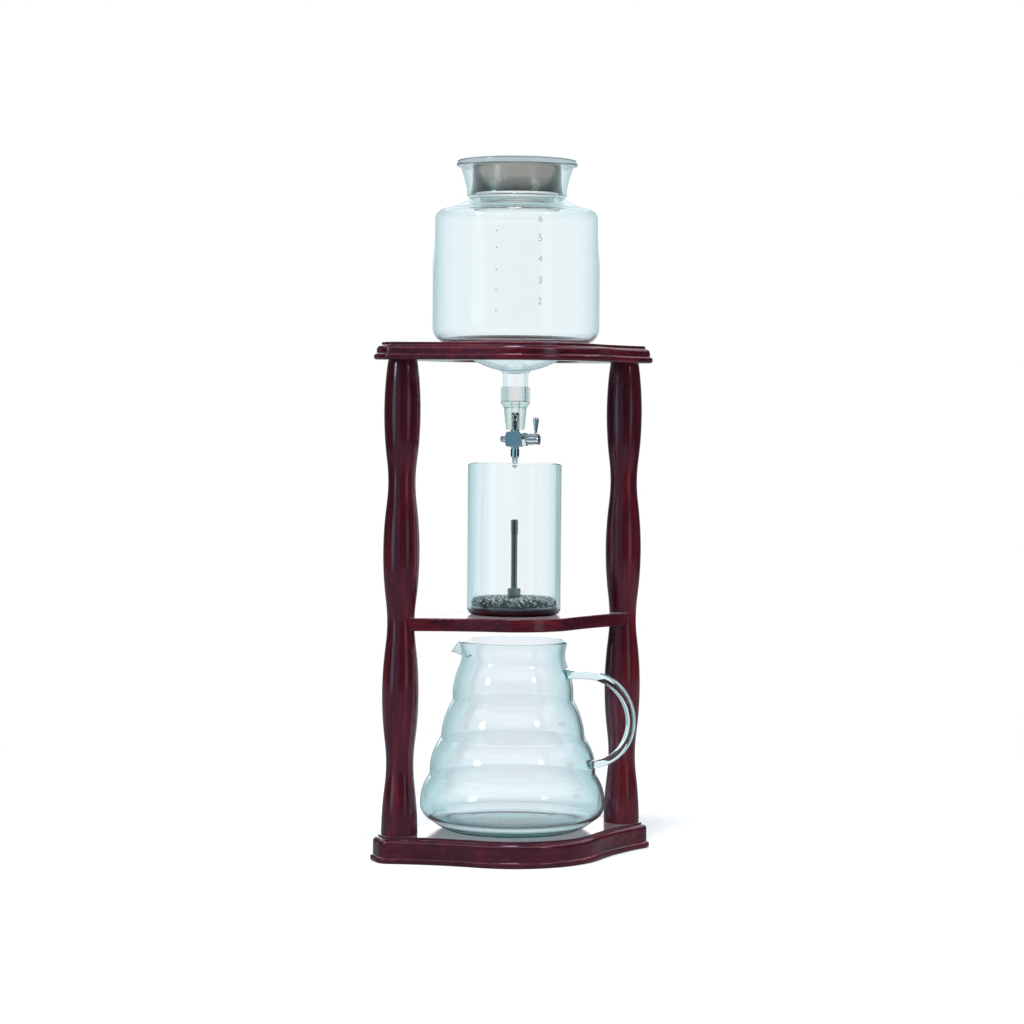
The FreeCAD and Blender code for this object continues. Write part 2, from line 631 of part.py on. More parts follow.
def make_column(name, side):
    """side is 1 for the column on the right, whose shelf housing opens to the left."""
    body = new_body(name)
    turned(body, outline(body, name + "_half", column_corners()))
    low = f"({SHELF_UNDER} - base_height)"
    floor = f"{-side} * housing_offset"
    mouth = f"{-side} * (column_bulge_r + housing_offset)"
    housing = outline(body, name + "_housing", [
        (floor, low), (mouth, low), (mouth, f"{low} + shelf_height"),
        (floor, f"{low} + shelf_height")])
    pocket(body, housing, "4 * column_bulge_r", middle=True)
    bolt = circle(body, name + "_screw_hole", "screw_shank_r + glue_gap")
    pocket(body, bolt, "screw_length + screw_recess - base_height + glue_gap", up=True)
    dowel = circle(body, name + "_dowel_hole", "dowel_r + glue_gap", level="column_height")
    pocket(body, dowel, "dowel_length - dowel_rise + glue_gap")
    place(body, across=f"{side} * column_spacing / 2", up="base_height")
    return body


def pair(name, part):
    """The piece and its mirror image on the other side, as one group of two solids."""
    other = doc.addObject("Part::Mirroring", name + "_left")
    other.Source = part
    other.Normal = FreeCAD.Vector(1, 0, 0)
    group = doc.addObject("Part::Compound", name)
    group.Links = [part, other]
    group.Label = name
    return group


def make_screws():
    body = new_body("base_screw")
    cone = "(screw_head_r - screw_shank_r)"
    point = "(screw_length - 2 * screw_shank_r)"
    turned(body, outline(body, "screw_half", [
        ("0", "0"), ("screw_head_r", "0"), ("screw_shank_r", cone), ("screw_shank_r", point),
        ("screw_slot / 2", "screw_length"), ("0", "screw_length")]))
    slot = outline(body, "driver_slot", [
        ("-screw_head_r", "-screw_slot / 2"), ("screw_head_r", "-screw_slot / 2"),
        ("screw_head_r", "screw_slot / 2"), ("-screw_head_r", "screw_slot / 2")], "XY_Plane")
    pocket(body, slot, "screw_slot", up=True)
    place(body, across="column_spacing / 2", up="screw_recess")
    return pair("base_screws", body)


def make_dowels():
    body = new_body("top_dowel")
    rod = pad(body, circle(body, "dowel_round", "dowel_r"), "dowel_length")
    rounded(body, rod, ["0", "dowel_length"], "screw_slot / 2")
    place(body, across="column_spacing / 2", up=f"{TOP_UNDER} + dowel_rise - dowel_length")
    return pair("top_dowels", body)


# ---- water tank --------------------------------------------------------------------------

DOME_UP = "sqrt(tank_dome_arc^2 - tank_dome_r^2)"
DOME_FILLET_R = "(tank_outlet_r + tank_outlet_fillet)"
DOME_FILLET_FALL = f"sqrt((tank_dome_arc + tank_outlet_fillet)^2 - {DOME_FILLET_R}^2)"
SHOULDER_SIN, SHOULDER_COS = "sin(tank_shoulder_slope)", "cos(tank_shoulder_slope)"
MOUTH_UP = ("(tank_straight + tank_shoulder_corner * cos(tank_shoulder_slope)"
            " + (tank_r - tank_shoulder_corner * (1 - sin(tank_shoulder_slope))"
            " - tank_mouth_r - tank_mouth_fillet * (1 - sin(tank_shoulder_slope)))"
            " * tan(tank_shoulder_slope) + tank_mouth_fillet * cos(tank_shoulder_slope))")
LIP_UP = f"({MOUTH_UP} + tank_mouth_straight + tank_flare_height)"
FLARE_ARC = "((tank_flare_height^2 + tank_flare_reach^2) / (2 * tank_flare_reach))"


def dome_touch(depth):
    """Where the dome, depth inside its outer face, runs into the outlet tube's rounding."""
    share = f"(tank_dome_arc - {depth}) / (tank_dome_arc + tank_outlet_fillet)"
    return f"{DOME_FILLET_R} * {share}", f"{DOME_UP} - {DOME_FILLET_FALL} * {share}"


def tank_skin(depth):
    """Corners of the tank's section from outlet to lip, depth inside the outer face."""
    tube_r = f"tank_outlet_r - {depth}"
    tube_top = f"{DOME_UP} - {DOME_FILLET_FALL}"
    touch_r, touch_up = dome_touch(depth)
    dome_r = f"sqrt((tank_dome_arc - {depth})^2 - ({DOME_UP} - {depth})^2)"
    shoulder_r = "(tank_r - tank_shoulder_corner)"
    mouth_centre = "(tank_mouth_r + tank_mouth_fillet)"
    corner = f"(tank_shoulder_corner - {depth})"
    fillet = f"(tank_mouth_fillet + {depth})"
    return [
        (tube_r, "-tank_outlet_drop"),
        (tube_r, tube_top, f"tank_outlet_fillet + {depth}", RIGHT),
        (touch_r, touch_up, f"tank_dome_arc - {depth}", LEFT),
        (dome_r, f"{depth}"),
        ("tank_r - tank_foot_corner", f"{depth}", f"tank_foot_corner - {depth}", LEFT),
        (f"tank_r - {depth}", "tank_foot_corner"),
        (f"tank_r - {depth}", "tank_straight", corner, LEFT),
        (f"{shoulder_r} + {corner} * {SHOULDER_SIN}",
         f"tank_straight + {corner} * {SHOULDER_COS}"),
        (f"{mouth_centre} - {fillet} * {SHOULDER_SIN}",
         f"{MOUTH_UP} - {fillet} * {SHOULDER_COS}", fillet, RIGHT),
        (f"tank_mouth_r - {depth}", MOUTH_UP),
        (f"tank_mouth_r - {depth}", f"{MOUTH_UP} + tank_mouth_straight",
         f"{FLARE_ARC} + {depth}", RIGHT),
        (f"tank_mouth_r + tank_flare_reach - {depth}", f"{LIP_UP} - tank_wall / 2")]


def back_along(corners):
    """The same outline walked the other way; each arc stays between its two corners."""
    turned_back = []
    for number in range(len(corners) - 1, -1, -1):
        across, up = corners[number][:2]
        arc = corners[number - 1][2:] if number and len(corners[number - 1]) == 4 else ()
        turned_back.append((across, up) + ((arc[0], -arc[1]) if arc else ()))
    return turned_back


def make_tank():
    body = new_body("tank_glass")
    outside = tank_skin("0")
    outside[-1] = outside[-1] + ("tank_wall / 2 + arc_slack", LEFT)
    inside = back_along(tank_skin("tank_wall"))
    turned(body, outline(body, "tank_half", outside + inside))
    place(body, up=TOP_TOP)
    return body


# ---- lid ---------------------------------------------------------------------------------

LID_UP = f"({TOP_TOP} + {LIP_UP} + lift_gap)"


def make_lid_disc():
    body = new_body("lid_disc")
    disc = pad(body, circle(body, "lid_round", "lid_disc_r"), "lid_disc_height")
    rounded(body, disc, ["0", "lid_disc_height"], "lid_disc_round")
    place(body, up=LID_UP)
    return body


def make_lid_plug():
    body = new_body("lid_plug")
    inner = "lid_plug_r - lid_plug_wall"
    floor = "-lid_plug_depth + lid_plug_wall"
    turned(body, outline(body, "plug_half", [
        ("0", "-lid_plug_depth"), ("lid_plug_r", "-lid_plug_depth"), ("lid_plug_r", "0"),
        (inner, "0"), (inner, floor), ("0", floor)]))
    place(body, up=LID_UP)
    return body


def make_lid_seal():
    body = new_body("lid_seal")
    lip_r = "tank_mouth_r - tank_wall - lid_lip_gap"
    top = "-lid_plug_depth"
    low = f"{top} - lid_seal_height"
    lip_low = f"{top} - lid_lip_height"
    lip_top = f"{top} - lid_lip_height / 3"
    turned(body, outline(body, "seal_half", [
        ("lid_seal_inner_r", low), ("lid_seal_r", low),
        ("lid_seal_r", f"{lip_low} - lid_lip_height / 2"), (lip_r, lip_low), (lip_r, lip_top),
        ("lid_plug_r", top), ("lid_seal_inner_r", top)]))
    place(body, up=LID_UP)
    return body


# ---- connector and drip valve --------------------------------------------------------------

OUTLET_END = f"({TOP_TOP} - tank_outlet_drop)"
SLEEVE_END = f"({OUTLET_END} - sleeve_floor - sleeve_chamfer - sleeve_taper_height)"
VALVE_UP = f"({SLEEVE_END} - valve_gap - valve_height / 2)"


def make_connector():
    """Soft reducing sleeve: grips the glass tube above and the valve's inlet tube below."""
    body = new_body("outlet_connector")
    bore = "inlet_r + glue_gap"
    grip = "tank_outlet_r + glue_gap"
    wide_low = "sleeve_taper_height + sleeve_chamfer"
    wide_floor = f"{wide_low} + sleeve_floor"
    turned(body, outline(body, "sleeve_half", [
        (bore, "0"), ("sleeve_end_r", "0"), ("sleeve_neck_r", "sleeve_taper_height"),
        ("sleeve_r", wide_low), ("sleeve_r", f"{wide_floor} + sleeve_grip"),
        (grip, f"{wide_floor} + sleeve_grip"), (grip, f"{wide_floor} - glue_gap"),
        (bore, f"{wide_floor} - glue_gap")]))
    place(body, up=SLEEVE_END)
    return body


def valve_place(thing):
    place(thing, up=VALVE_UP, turn="valve_turn")


def make_valve_block():
    body = new_body("valve_body")
    half_x, half_z = "valve_width / 2", "valve_height / 2"
    cut_x, cut_z = f"{half_x} - valve_chamfer", f"{half_z} - valve_chamfer"
    block = outline(body, "block_face", [
        (f"-({cut_x})", f"-({half_z})"), (cut_x, f"-({half_z})"), (half_x, f"-({cut_z})"),
        (half_x, cut_z), (cut_x, half_z), (f"-({cut_x})", half_z), (f"-({half_x})", cut_z),
        (f"-({half_x})", f"-({cut_z})")])
    pad(body, block, "valve_depth", middle=True)
    pocket(body, circle(body, "water_way", "inlet_bore_r"), "valve_height + over_cut", middle=True)
    pocket(body, circle(body, "plug_way", "plug_r + plug_gap", "YZ_Plane"),
           "valve_width + over_cut", middle=True)
    pocket(body, circle(body, "inlet_seat", "inlet_r + glue_gap", level=half_z),
           "thread_depth")
    pocket(body, circle(body, "outlet_seat", "outlet_r + glue_gap", level=f"-({half_z})"),
           "thread_depth", up=True)
    pocket(body, circle(body, "packing_seat", "packing_r + plug_gap", "YZ_Plane", half_x),
           "packing_length")
    valve_place(body)
    return body


def make_inlet():
    body = new_body("valve_inlet")
    low = "valve_height / 2 - thread_depth"
    top = "valve_height / 2 + valve_gap + inlet_insert"
    turned(body, outline(body, "inlet_half", [
        ("inlet_bore_r", low), ("inlet_r", low), ("inlet_r", f"{top} - inlet_r / 4"),
        ("inlet_r - inlet_r / 4", top), ("inlet_bore_r", top)]))
    valve_place(body)
    return body


def make_nozzle():
    """Outlet tube that steps down to the tip the drops fall from."""
    body = new_body("drip_nozzle")
    top = "(valve_height / 2 - thread_depth)"
    step = "(valve_height / 2 + outlet_length)"
    tip = f"({step} + nozzle_length)"
    turned(body, outline(body, "nozzle_half", [
        ("inlet_bore_r / 2", f"-{tip}"), ("nozzle_tip_r", f"-{tip}"),
        ("nozzle_r", f"-({tip} - nozzle_r)"), ("nozzle_r", f"-{step}"),
        ("outlet_r", f"-({step} - nozzle_tip_r / 2)"), ("outlet_r", f"-{top}"),
        ("inlet_bore_r / 2", f"-{top}")]))
    valve_place(body)
    return body


def spindle_solid(name, corners):
    """Solid turned about the spindle; a corner is (along the spindle, away from it)."""
    body = new_body(name)
    turned(body, outline(body, name + "_half", corners), axis="H_Axis")
    return body


GLAND_OUT = "(valve_width / 2 + plug_gap)"
COLLAR_END = f"({GLAND_OUT} + gland_length + gland_collar_length)"
HUB_IN = f"({COLLAR_END} + plug_gap)"
HUB_OUT = f"({HUB_IN} + hub_length)"


def make_packing():
    body = spindle_solid("gland_packing", [
        ("valve_width / 2 - packing_length + plug_gap", "plug_r + plug_gap"),
        ("valve_width / 2", "plug_r + plug_gap"), ("valve_width / 2", "packing_r"),
        ("valve_width / 2 - packing_length + plug_gap", "packing_r")])
    valve_place(body)
    return body


def make_gland():
    body = new_body("gland_nut")
    pad(body, polygon(body, "gland_hexagon", 6, "gland_key", "YZ_Plane", GLAND_OUT),
        "gland_length")
    pad(body, circle(body, "gland_collar", "gland_collar_r", "YZ_Plane", GLAND_OUT),
        "gland_length + gland_collar_length")
    pocket(body, circle(body, "gland_bore", "plug_r + plug_gap", "YZ_Plane", COLLAR_END),
           "gland_length + gland_collar_length")
    valve_place(body)
    return body


def make_plug():
    """Turning plug with a cross bore that lines up with the water way while the lever is up."""
    nut_in = "(valve_width / 2 + plug_gap)"
    body = spindle_solid("valve_plug", [
        (f"-({nut_in} + end_nut_length)", "0"), (HUB_OUT, "0"), (HUB_OUT, "plug_thread_r"),
        (HUB_IN, "plug_thread_r"), (HUB_IN, "plug_r"), (f"-{nut_in}", "plug_r"),
        (f"-{nut_in}", "plug_thread_r"), (f"-({nut_in} + end_nut_length)", "plug_thread_r")])
    pocket(body, circle(body, "cross_bore", "inlet_bore_r"), "3 * plug_r", middle=True)
    valve_place(body)
    return body


def make_end_nut():
    nut_in = "(valve_width / 2 + plug_gap)"
    nut_out = f"({nut_in} + end_nut_length)"
    ease = "end_nut_r / 4"
    body = spindle_solid("plug_end_nut", [
        (f"-{nut_out}", "plug_thread_r + glue_gap"), (f"-{nut_in}", "plug_thread_r + glue_gap"),
        (f"-{nut_in}", "end_nut_r"), (f"-({nut_out} - {ease})", "end_nut_r"),
        (f"-{nut_out}", f"end_nut_r - {ease}")])
    valve_place(body)
    return body


def make_hub():
    """Grip hub of the spindle, grooved on the side of the valve, smooth under the lever."""
    ease = "hub_flute_r"
    body = spindle_solid("lever_hub", [
        (HUB_IN, "plug_thread_r + glue_gap"), (HUB_OUT, "plug_thread_r + glue_gap"),
        (HUB_OUT, f"hub_r - {ease}"), (f"{HUB_OUT} - {ease}", "hub_r"),
        (f"{HUB_IN} + {ease}", "hub_r"), (HUB_IN, f"hub_r - {ease}")])
    groove = pocket(body, circle(body, "hub_groove", "hub_flute_r", "YZ_Plane", HUB_IN,
                                 up="hub_r"), "hub_grip", up=True)
    around(body, groove, "hub_flutes")
    doc.recompute()
    socket = circle(body, "lever_socket", "lever_foot_r + glue_gap", "XY_Plane", "hub_r",
                    across=f"{HUB_OUT} - lever_place")
    pocket(body, socket, "lever_pin_depth + glue_gap")
    valve_place(body)
    return body


def make_lever():
    """Tear-shaped lever, thin at the hub and round at its tip."""
    body = new_body("lever_handle")
    low = "hub_r - lever_pin_depth"
    tip_up = "(hub_r + lever_length - lever_tip_r)"
    axis_x = f"({HUB_OUT} - lever_place)"
    sketch = outline(body, "lever_half", [
        (axis_x, low), (f"{axis_x} + lever_foot_r", low),
        (f"{axis_x} + lever_foot_r", "hub_r + lever_foot_r"),
        (f"{axis_x} + lever_tip_r", tip_up, "lever_tip_r", LEFT),
        (axis_x, f"{tip_up} + lever_tip_r")])
    line = sketch.addGeometry(Part.LineSegment(
        FreeCAD.Vector(value(axis_x), 0, 0),
        FreeCAD.Vector(value(axis_x), value(tip_up), 0)), True)
    bind(sketch, pin(line, 1, axis_x, "0") + pin(line, 2, axis_x, tip_up))
    turned(body, sketch, axis="Axis0")
    valve_place(body)
    return body


# ---- dripper and filter --------------------------------------------------------------------

def make_dripper():
    body = new_body("dripper_glass")
    inner = "dripper_r - dripper_wall"
    inner_corner = "dripper_corner - dripper_wall"
    rim = "dripper_height - dripper_wall / 2"
    hole = "drip_lip_r - drip_lip_wall"
    turned(body, outline(body, "dripper_half", [
        (hole, "-drip_lip_drop"), ("drip_lip_r", "-drip_lip_drop"), ("drip_lip_r", "0"),
        ("dripper_r - dripper_corner", "0", "dripper_corner", LEFT),
        ("dripper_r", "dripper_corner"),
        ("dripper_r", rim, "dripper_wall / 2 + arc_slack", LEFT),
        (inner, rim), (inner, f"dripper_floor + {inner_corner}", inner_corner, RIGHT),
        (f"{inner} - ({inner_corner})", "dripper_floor"), (hole, "dripper_floor")]))
    place(body, up=SHELF_TOP)
    return body


FILTER_UP = f"({SHELF_TOP} + dripper_floor)"
FILTER_R = "(dripper_r - dripper_wall - filter_edge_gap)"
PLATE_R = f"({FILTER_R} - plate_inset)"


def make_filter_seal():
    body = new_body("filter_seal")
    ease = "(dripper_corner - dripper_wall + filter_edge_gap)"
    turned(body, outline(body, "filter_seal_half", [
        (f"{FILTER_R} - seal_band", "0"), (f"{FILTER_R} - {ease}", "0", ease, LEFT),
        (FILTER_R, ease), (FILTER_R, "seal_height"),
        (f"{FILTER_R} - seal_band", "seal_height")]))
    place(body, up=FILTER_UP)
    return body


def make_filter_plate():
    """Round plate whose spokes leave large windows between rim and middle."""
    body = new_body("filter_plate")
    pad(body, circle(body, "plate_round", PLATE_R), "plate_height")
    outer = f"({PLATE_R} - plate_rim)"
    half = "(180 / plate_spokes)"
    reach = f"sqrt({outer}^2 - (plate_spoke / 2)^2)"
    near = "sqrt(plate_hub_r^2 - (plate_spoke / 2)^2)"
    turn = f"({half})"

    def along(distance, side):
        """Point on the window's straight edge, distance along it from the plate's middle."""
        across = (f"{distance} * cos({turn}) + plate_spoke / 2 * sin({turn})")
        up = (f"{side} * ({distance} * sin({turn}) - plate_spoke / 2 * cos({turn}))")
        return across, up

    window = outline(body, "plate_window", [
        along(near, -1), along(reach, -1) + (outer, LEFT), along(reach, 1),
        along(near, 1) + ("plate_hub_r", RIGHT)], "XY_Plane", "plate_height")
    opening = pocket(body, window, "plate_height")
    around(body, opening, "plate_spokes")
    doc.recompute()
    pocket(body, circle(body, "plate_bore", "post_r + glue_gap", level="plate_height"),
           "plate_height")
    place(body, up=f"{FILTER_UP} + seal_height")
    return body


def make_filter_mesh():
    """Cap of wire cloth with a rounded edge, clamped on the plate by the nut."""
    body = new_body("filter_mesh")
    inner = f"{PLATE_R} - mesh_skin"
    turned(body, outline(body, "mesh_half", [
        (inner, "0"), (PLATE_R, "0"), (PLATE_R, "mesh_height - mesh_round", "mesh_round", LEFT),
        (f"{PLATE_R} - mesh_round", "mesh_height"), ("post_r + glue_gap", "mesh_height"),
        ("post_r + glue_gap", "mesh_height - mesh_skin"),
        (f"{PLATE_R} - mesh_round", "mesh_height - mesh_skin", "mesh_round - mesh_skin", RIGHT),
        (inner, "mesh_height - mesh_round")]))
    place(body, up=f"{FILTER_UP} + seal_height + plate_height")
    return body


def make_post():
    """Post that the filter is lifted by; its head holds the plate from below."""
    body = new_body("filter_post")
    plate = "(seal_height - glue_gap)"
    cap = "(post_top - post_cap_length)"
    turned(body, outline(body, "post_half", [
        ("0", f"{plate} - post_head_height"), ("post_head_r", f"{plate} - post_head_height"),
        ("post_head_r", plate), ("post_r", plate), ("post_r", cap), ("post_cap_r", cap),
        ("post_cap_r", "post_top"), ("0", "post_top")]))
    place(body, up=FILTER_UP)
    return body


def make_nut():
    body = new_body("filter_nut")
    pad(body, polygon(body, "nut_hexagon", 6, "nut_key"), "nut_height")
    pocket(body, circle(body, "nut_bore", "post_r + glue_gap", level="nut_height"),
           "nut_height")
    place(body, up=f"{FILTER_UP} + seal_height + plate_height + mesh_height", turn="nut_turn")
    return body


# ---- carafe --------------------------------------------------------------------------------

def vertical_arc(across_from, across_to, rise):
    """Radius of an arc that starts upright and moves sideways over a rise."""
    shift = f"(({across_from}) - ({across_to}))"
    return f"({shift}^2 + ({rise})^2) / (2 * abs({shift}))"


NECK_BEND_R = "(throat_r + neck_bend_out)"
NECK_BEND_UP = "(carafe_height - throat_drop - neck_bend_drop)"


def carafe_skin(depth):
    """Section of the carafe from heel to rim, depth inside the outer face: four swelling waves
    one above the other, then a hollow throat."""
    def wave(radius, side=LEFT):
        return (f"({radius}) - {side} * {depth}", side)

    return [
        (f"heel_r - {depth} / 2", f"heel_up + {depth}")
        + wave(vertical_arc("belly_r", "heel_r", "belly_up - heel_up")),
        (f"belly_r - {depth}", "belly_up")
        + wave(vertical_arc("belly_r", "third_wave_r", "third_wave_up - belly_up")),
        (f"third_wave_r - {depth}", "third_wave_up") + wave("third_wave_arc"),
        (f"second_wave_r - {depth}", "second_wave_up") + wave("second_wave_arc"),
        (f"first_wave_r - {depth}", "first_wave_up") + wave("first_wave_arc"),
        (f"{NECK_BEND_R} - {depth}", NECK_BEND_UP) + wave("neck_bend_arc", RIGHT),
        (f"throat_r - {depth}", "carafe_height - throat_drop") + wave("throat_arc", RIGHT),
        (f"rim_r - {depth}", "carafe_height - carafe_wall / 2")]


def carafe_blank(name):
    """Outer form of the carafe, not yet hollow."""
    body = new_body(name)
    ring = "(carafe_foot_r - carafe_foot_band)"
    push = f"(({ring}^2 + carafe_push_up^2) / (2 * carafe_push_up))"
    corners = [("0", "carafe_push_up", push, RIGHT), (ring, "0"),
               ("carafe_foot_r", "0", "foot_arc", LEFT)] + carafe_skin("0")
    corners += [("rim_r - carafe_wall / 2", "carafe_height"), ("0", "carafe_height")]
    turned(body, outline(body, name + "_half", corners))
    return body


def spout_section(body, name, distance, half, low, wall):
    """Upright U-shaped section of the spout, wall inside its outer face."""
    inner = f"({half} - {wall})"
    top = "(carafe_height + spout_wall)"
    return outline(body, name, [
        (f"-{inner}", top), (f"-{inner}", f"{low} + {half}", f"{inner} + arc_slack", LEFT),
        (inner, f"{low} + {half}"), (inner, top)], "YZ_Plane", f"-({distance})")


def spout_loft(body, name, kind, wall, tip):
    """Ruled channel from inside the throat to the tip."""
    root = spout_section(body, name + "_root", "throat_r - spout_root_in", "spout_root_half",
                         "spout_root_up", wall)
    end = spout_section(body, name + "_tip", tip, "spout_tip_half", "spout_tip_low", wall)
    loft = body.newObject(kind, name)
    loft.Profile = root
    loft.Sections = [end]
    loft.Ruled = True
    return loft


def make_carafe():
    """Blown carafe: outer form, spout, cavity, then the rim line that falls to the spout."""
    body = carafe_blank("carafe_glass")
    spout_loft(body, "spout_form", "PartDesign::AdditiveLoft", "0", "spout_reach")
    inner_floor = "(carafe_push_up + carafe_floor)"
    hollow = [("0", inner_floor), ("carafe_foot_r - carafe_foot_band", "carafe_floor_edge")]
    hollow += carafe_skin("carafe_wall")
    hollow += [("rim_r - carafe_wall", "carafe_height + spout_wall"),
               ("0", "carafe_height + spout_wall")]
    turned(body, outline(body, "carafe_hollow", hollow), cut=True)
    spout_loft(body, "spout_channel", "PartDesign::SubtractiveLoft", "spout_wall",
               "spout_reach + spout_wall")
    inside = "-(throat_r - spout_root_in - carafe_wall)"
    beyond = "-(spout_reach + 2 * spout_wall)"
    above = "(carafe_height + 2 * spout_wall)"
    rim_line = outline(body, "rim_line", [
        (inside, "carafe_height"), (inside, above), (beyond, above), (beyond, "spout_tip_up"),
        ("-spout_reach", "spout_tip_up"), ("-(rim_r - carafe_wall)", "carafe_height")])
    pocket(body, rim_line, "4 * spout_root_half", middle=True)
    place(body, up="base_height", turn="carafe_turn")
    return body


def make_handle():
    """Flattened glass rod: a straight upper arm and a half round bow, ending on the glass."""
    rod = new_body("handle_rod")
    bottom = "(handle_top - 2 * handle_bow)"
    start = "(throat_r - carafe_wall)"
    path = new_sketch(rod, "handle_path")
    points = [FreeCAD.Vector(value(x), value(z), 0) for x, z in (
        (start, "handle_top"), ("handle_reach", "handle_top"), ("handle_reach", bottom),
        ("handle_reach - handle_foot_in", bottom))]
    centre = FreeCAD.Vector(value("handle_reach"), value("handle_top - handle_bow"), 0)
    bow = Part.Circle(centre, FreeCAD.Vector(0, 0, 1), value("handle_bow"))
    path.addGeometry(Part.LineSegment(points[0], points[1]), False)
    path.addGeometry(Part.ArcOfCircle(bow, -math.pi / 2, math.pi / 2), False)
    path.addGeometry(Part.LineSegment(points[2], points[3]), False)
    bind(path, pin(0, 1, start, "handle_top") + pin(1, 3, "handle_reach", "handle_top - handle_bow")
         + pin(2, 2, "handle_reach - handle_foot_in", bottom)
         + [(Sketcher.Constraint("Tangent", 0, 2, 1, 2), None),
            (Sketcher.Constraint("Tangent", 1, 1, 2, 1), None),
            (Sketcher.Constraint("Radius", 1, value("handle_bow")), "handle_bow")])
    flat = "(handle_wide - handle_thick) / 2"
    half = "handle_thick / 2"
    section = outline(rod, "handle_section", [
        (f"-({flat})", f"handle_top - {half}"), (flat, f"handle_top - {half}",
                                                 f"{half} + arc_slack", LEFT),
        (flat, f"handle_top + {half}"), (f"-({flat})", f"handle_top + {half}",
                                         f"{half} + arc_slack", LEFT)], "YZ_Plane", start)
    pipe = rod.newObject("PartDesign::AdditivePipe", "handle_sweep")
    pipe.Profile = section
    pipe.Spine = path
    place(rod, up="base_height", turn="carafe_turn")
    form = carafe_blank("carafe_form")
    place(form, up="base_height", turn="carafe_turn")
    handle = doc.addObject("Part::Cut", "carafe_handle")
    handle.Base = rod
    handle.Tool = form
    handle.Label = "carafe_handle"
    return handle


def make_all():
    fill_sheet()
    nodes = [
        make_base(), make_top(), make_shelf(), make_column("left_column", -1),
        make_column("right_column", 1), make_screws(), make_dowels(), make_tank(),
        make_lid_disc(), make_lid_plug(), make_lid_seal(), make_connector(),
        make_valve_block(), make_inlet(), make_nozzle(), make_packing(), make_gland(),
        make_plug(), make_end_nut(), make_hub(), make_lever(), make_dripper(),
        make_filter_seal(), make_filter_plate(), make_filter_mesh(), make_post(), make_nut(),
        make_carafe(), make_handle()]
    doc.recompute()
    return nodes


def check_objects():
    for thing in doc.Objects:
        if {"Invalid", "Error"} & set(thing.State):
            raise RuntimeError(f"{thing.Label} failed: {thing.State}")


def write_nodes(nodes):
    os.makedirs("parts", exist_ok=True)
    for node in nodes:
        shape = node.Shape
        if shape.isNull() or not shape.isValid() or not shape.Solids:
            raise RuntimeError(f"{node.Label} has no valid solid")
        shape.exportStep(f"parts/{node.Label}.step")
        print(f"{node.Label}: {len(shape.Solids)} solid(s), {shape.Volume:.1f} mm3")


made = make_all()
check_objects()
write_nodes(made)
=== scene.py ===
import math

import bpy
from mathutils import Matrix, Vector


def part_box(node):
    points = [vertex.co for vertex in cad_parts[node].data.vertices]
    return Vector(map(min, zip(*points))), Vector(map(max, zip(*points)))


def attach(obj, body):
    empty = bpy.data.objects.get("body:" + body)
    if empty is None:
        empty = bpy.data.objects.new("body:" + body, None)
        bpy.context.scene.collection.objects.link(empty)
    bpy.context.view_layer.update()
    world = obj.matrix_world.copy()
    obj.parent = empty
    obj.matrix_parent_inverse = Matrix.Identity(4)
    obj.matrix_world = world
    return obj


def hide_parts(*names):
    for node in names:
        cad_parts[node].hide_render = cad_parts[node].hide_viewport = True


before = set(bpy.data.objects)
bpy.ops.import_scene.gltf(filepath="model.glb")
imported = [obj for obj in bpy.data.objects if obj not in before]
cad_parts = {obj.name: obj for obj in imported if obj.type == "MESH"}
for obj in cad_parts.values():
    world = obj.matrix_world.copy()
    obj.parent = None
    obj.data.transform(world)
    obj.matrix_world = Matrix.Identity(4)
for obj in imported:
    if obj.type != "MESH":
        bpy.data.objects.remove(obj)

# Everything is in metres. The glassware stands on the Z axis and the front faces -Y.

scene = bpy.context.scene
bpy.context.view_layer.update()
hair = 0.00001    # room for rounding where points are chosen by their place
weld = 0.000002    # points of a turned piece that lie closer than this become one
facing = 0.9    # a face whose normal has that much of Z faces up
print("frame loaded:", len(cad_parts), "nodes")


# helpers for modelling

def deselectAll():
    if bpy.context.mode != "OBJECT":
        bpy.ops.object.mode_set(mode="OBJECT")
    bpy.ops.object.select_all(action="DESELECT")


def selectOnly(*pieces):
    deselectAll()
    for piece in pieces:
        piece.select_set(True)
    bpy.context.view_layer.objects.active = pieces[0]


def settle(piece):
    selectOnly(piece)
    bpy.ops.object.transform_apply(location=True, rotation=True, scale=True)
    return piece


def smooth(piece, angle=35):
    selectOnly(piece)
    bpy.ops.object.shade_smooth_by_angle(angle=math.radians(angle))
    return piece


def finishWith(piece, kind, **values):
    selectOnly(piece)
    modifier = piece.modifiers.new(kind.title(), kind)
    for name, value in values.items():
        setattr(modifier, name, value)
    bpy.ops.object.modifier_apply(modifier=modifier.name)


def bowPoints(start, end, bow, turnPerStep):
    # points after start up to end, on an arc of that radius; a negative bow curves the other way
    (x0, z0), (x1, z1) = start, end
    if not bow:
        return [end]
    chord = math.hypot(x1 - x0, z1 - z0)
    radius = max(abs(bow), chord / 2)
    rise = math.sqrt(max(radius ** 2 - chord ** 2 / 4, 0)) * (1 if bow > 0 else -1)
    cx = (x0 + x1) / 2 - (z1 - z0) / chord * rise
    cz = (z0 + z1) / 2 + (x1 - x0) / chord * rise
    first = math.atan2(z0 - cz, x0 - cx)
    sweep = (math.atan2(z1 - cz, x1 - cx) - first) % (2 * math.pi)
    sweep -= 0 if bow > 0 else 2 * math.pi
    steps = max(6, math.ceil(abs(math.degrees(sweep)) / turnPerStep))
    return [(cx + radius * math.cos(first + sweep * k / steps),
             cz + radius * math.sin(first + sweep * k / steps)) for k in range(1, steps)] + [end]


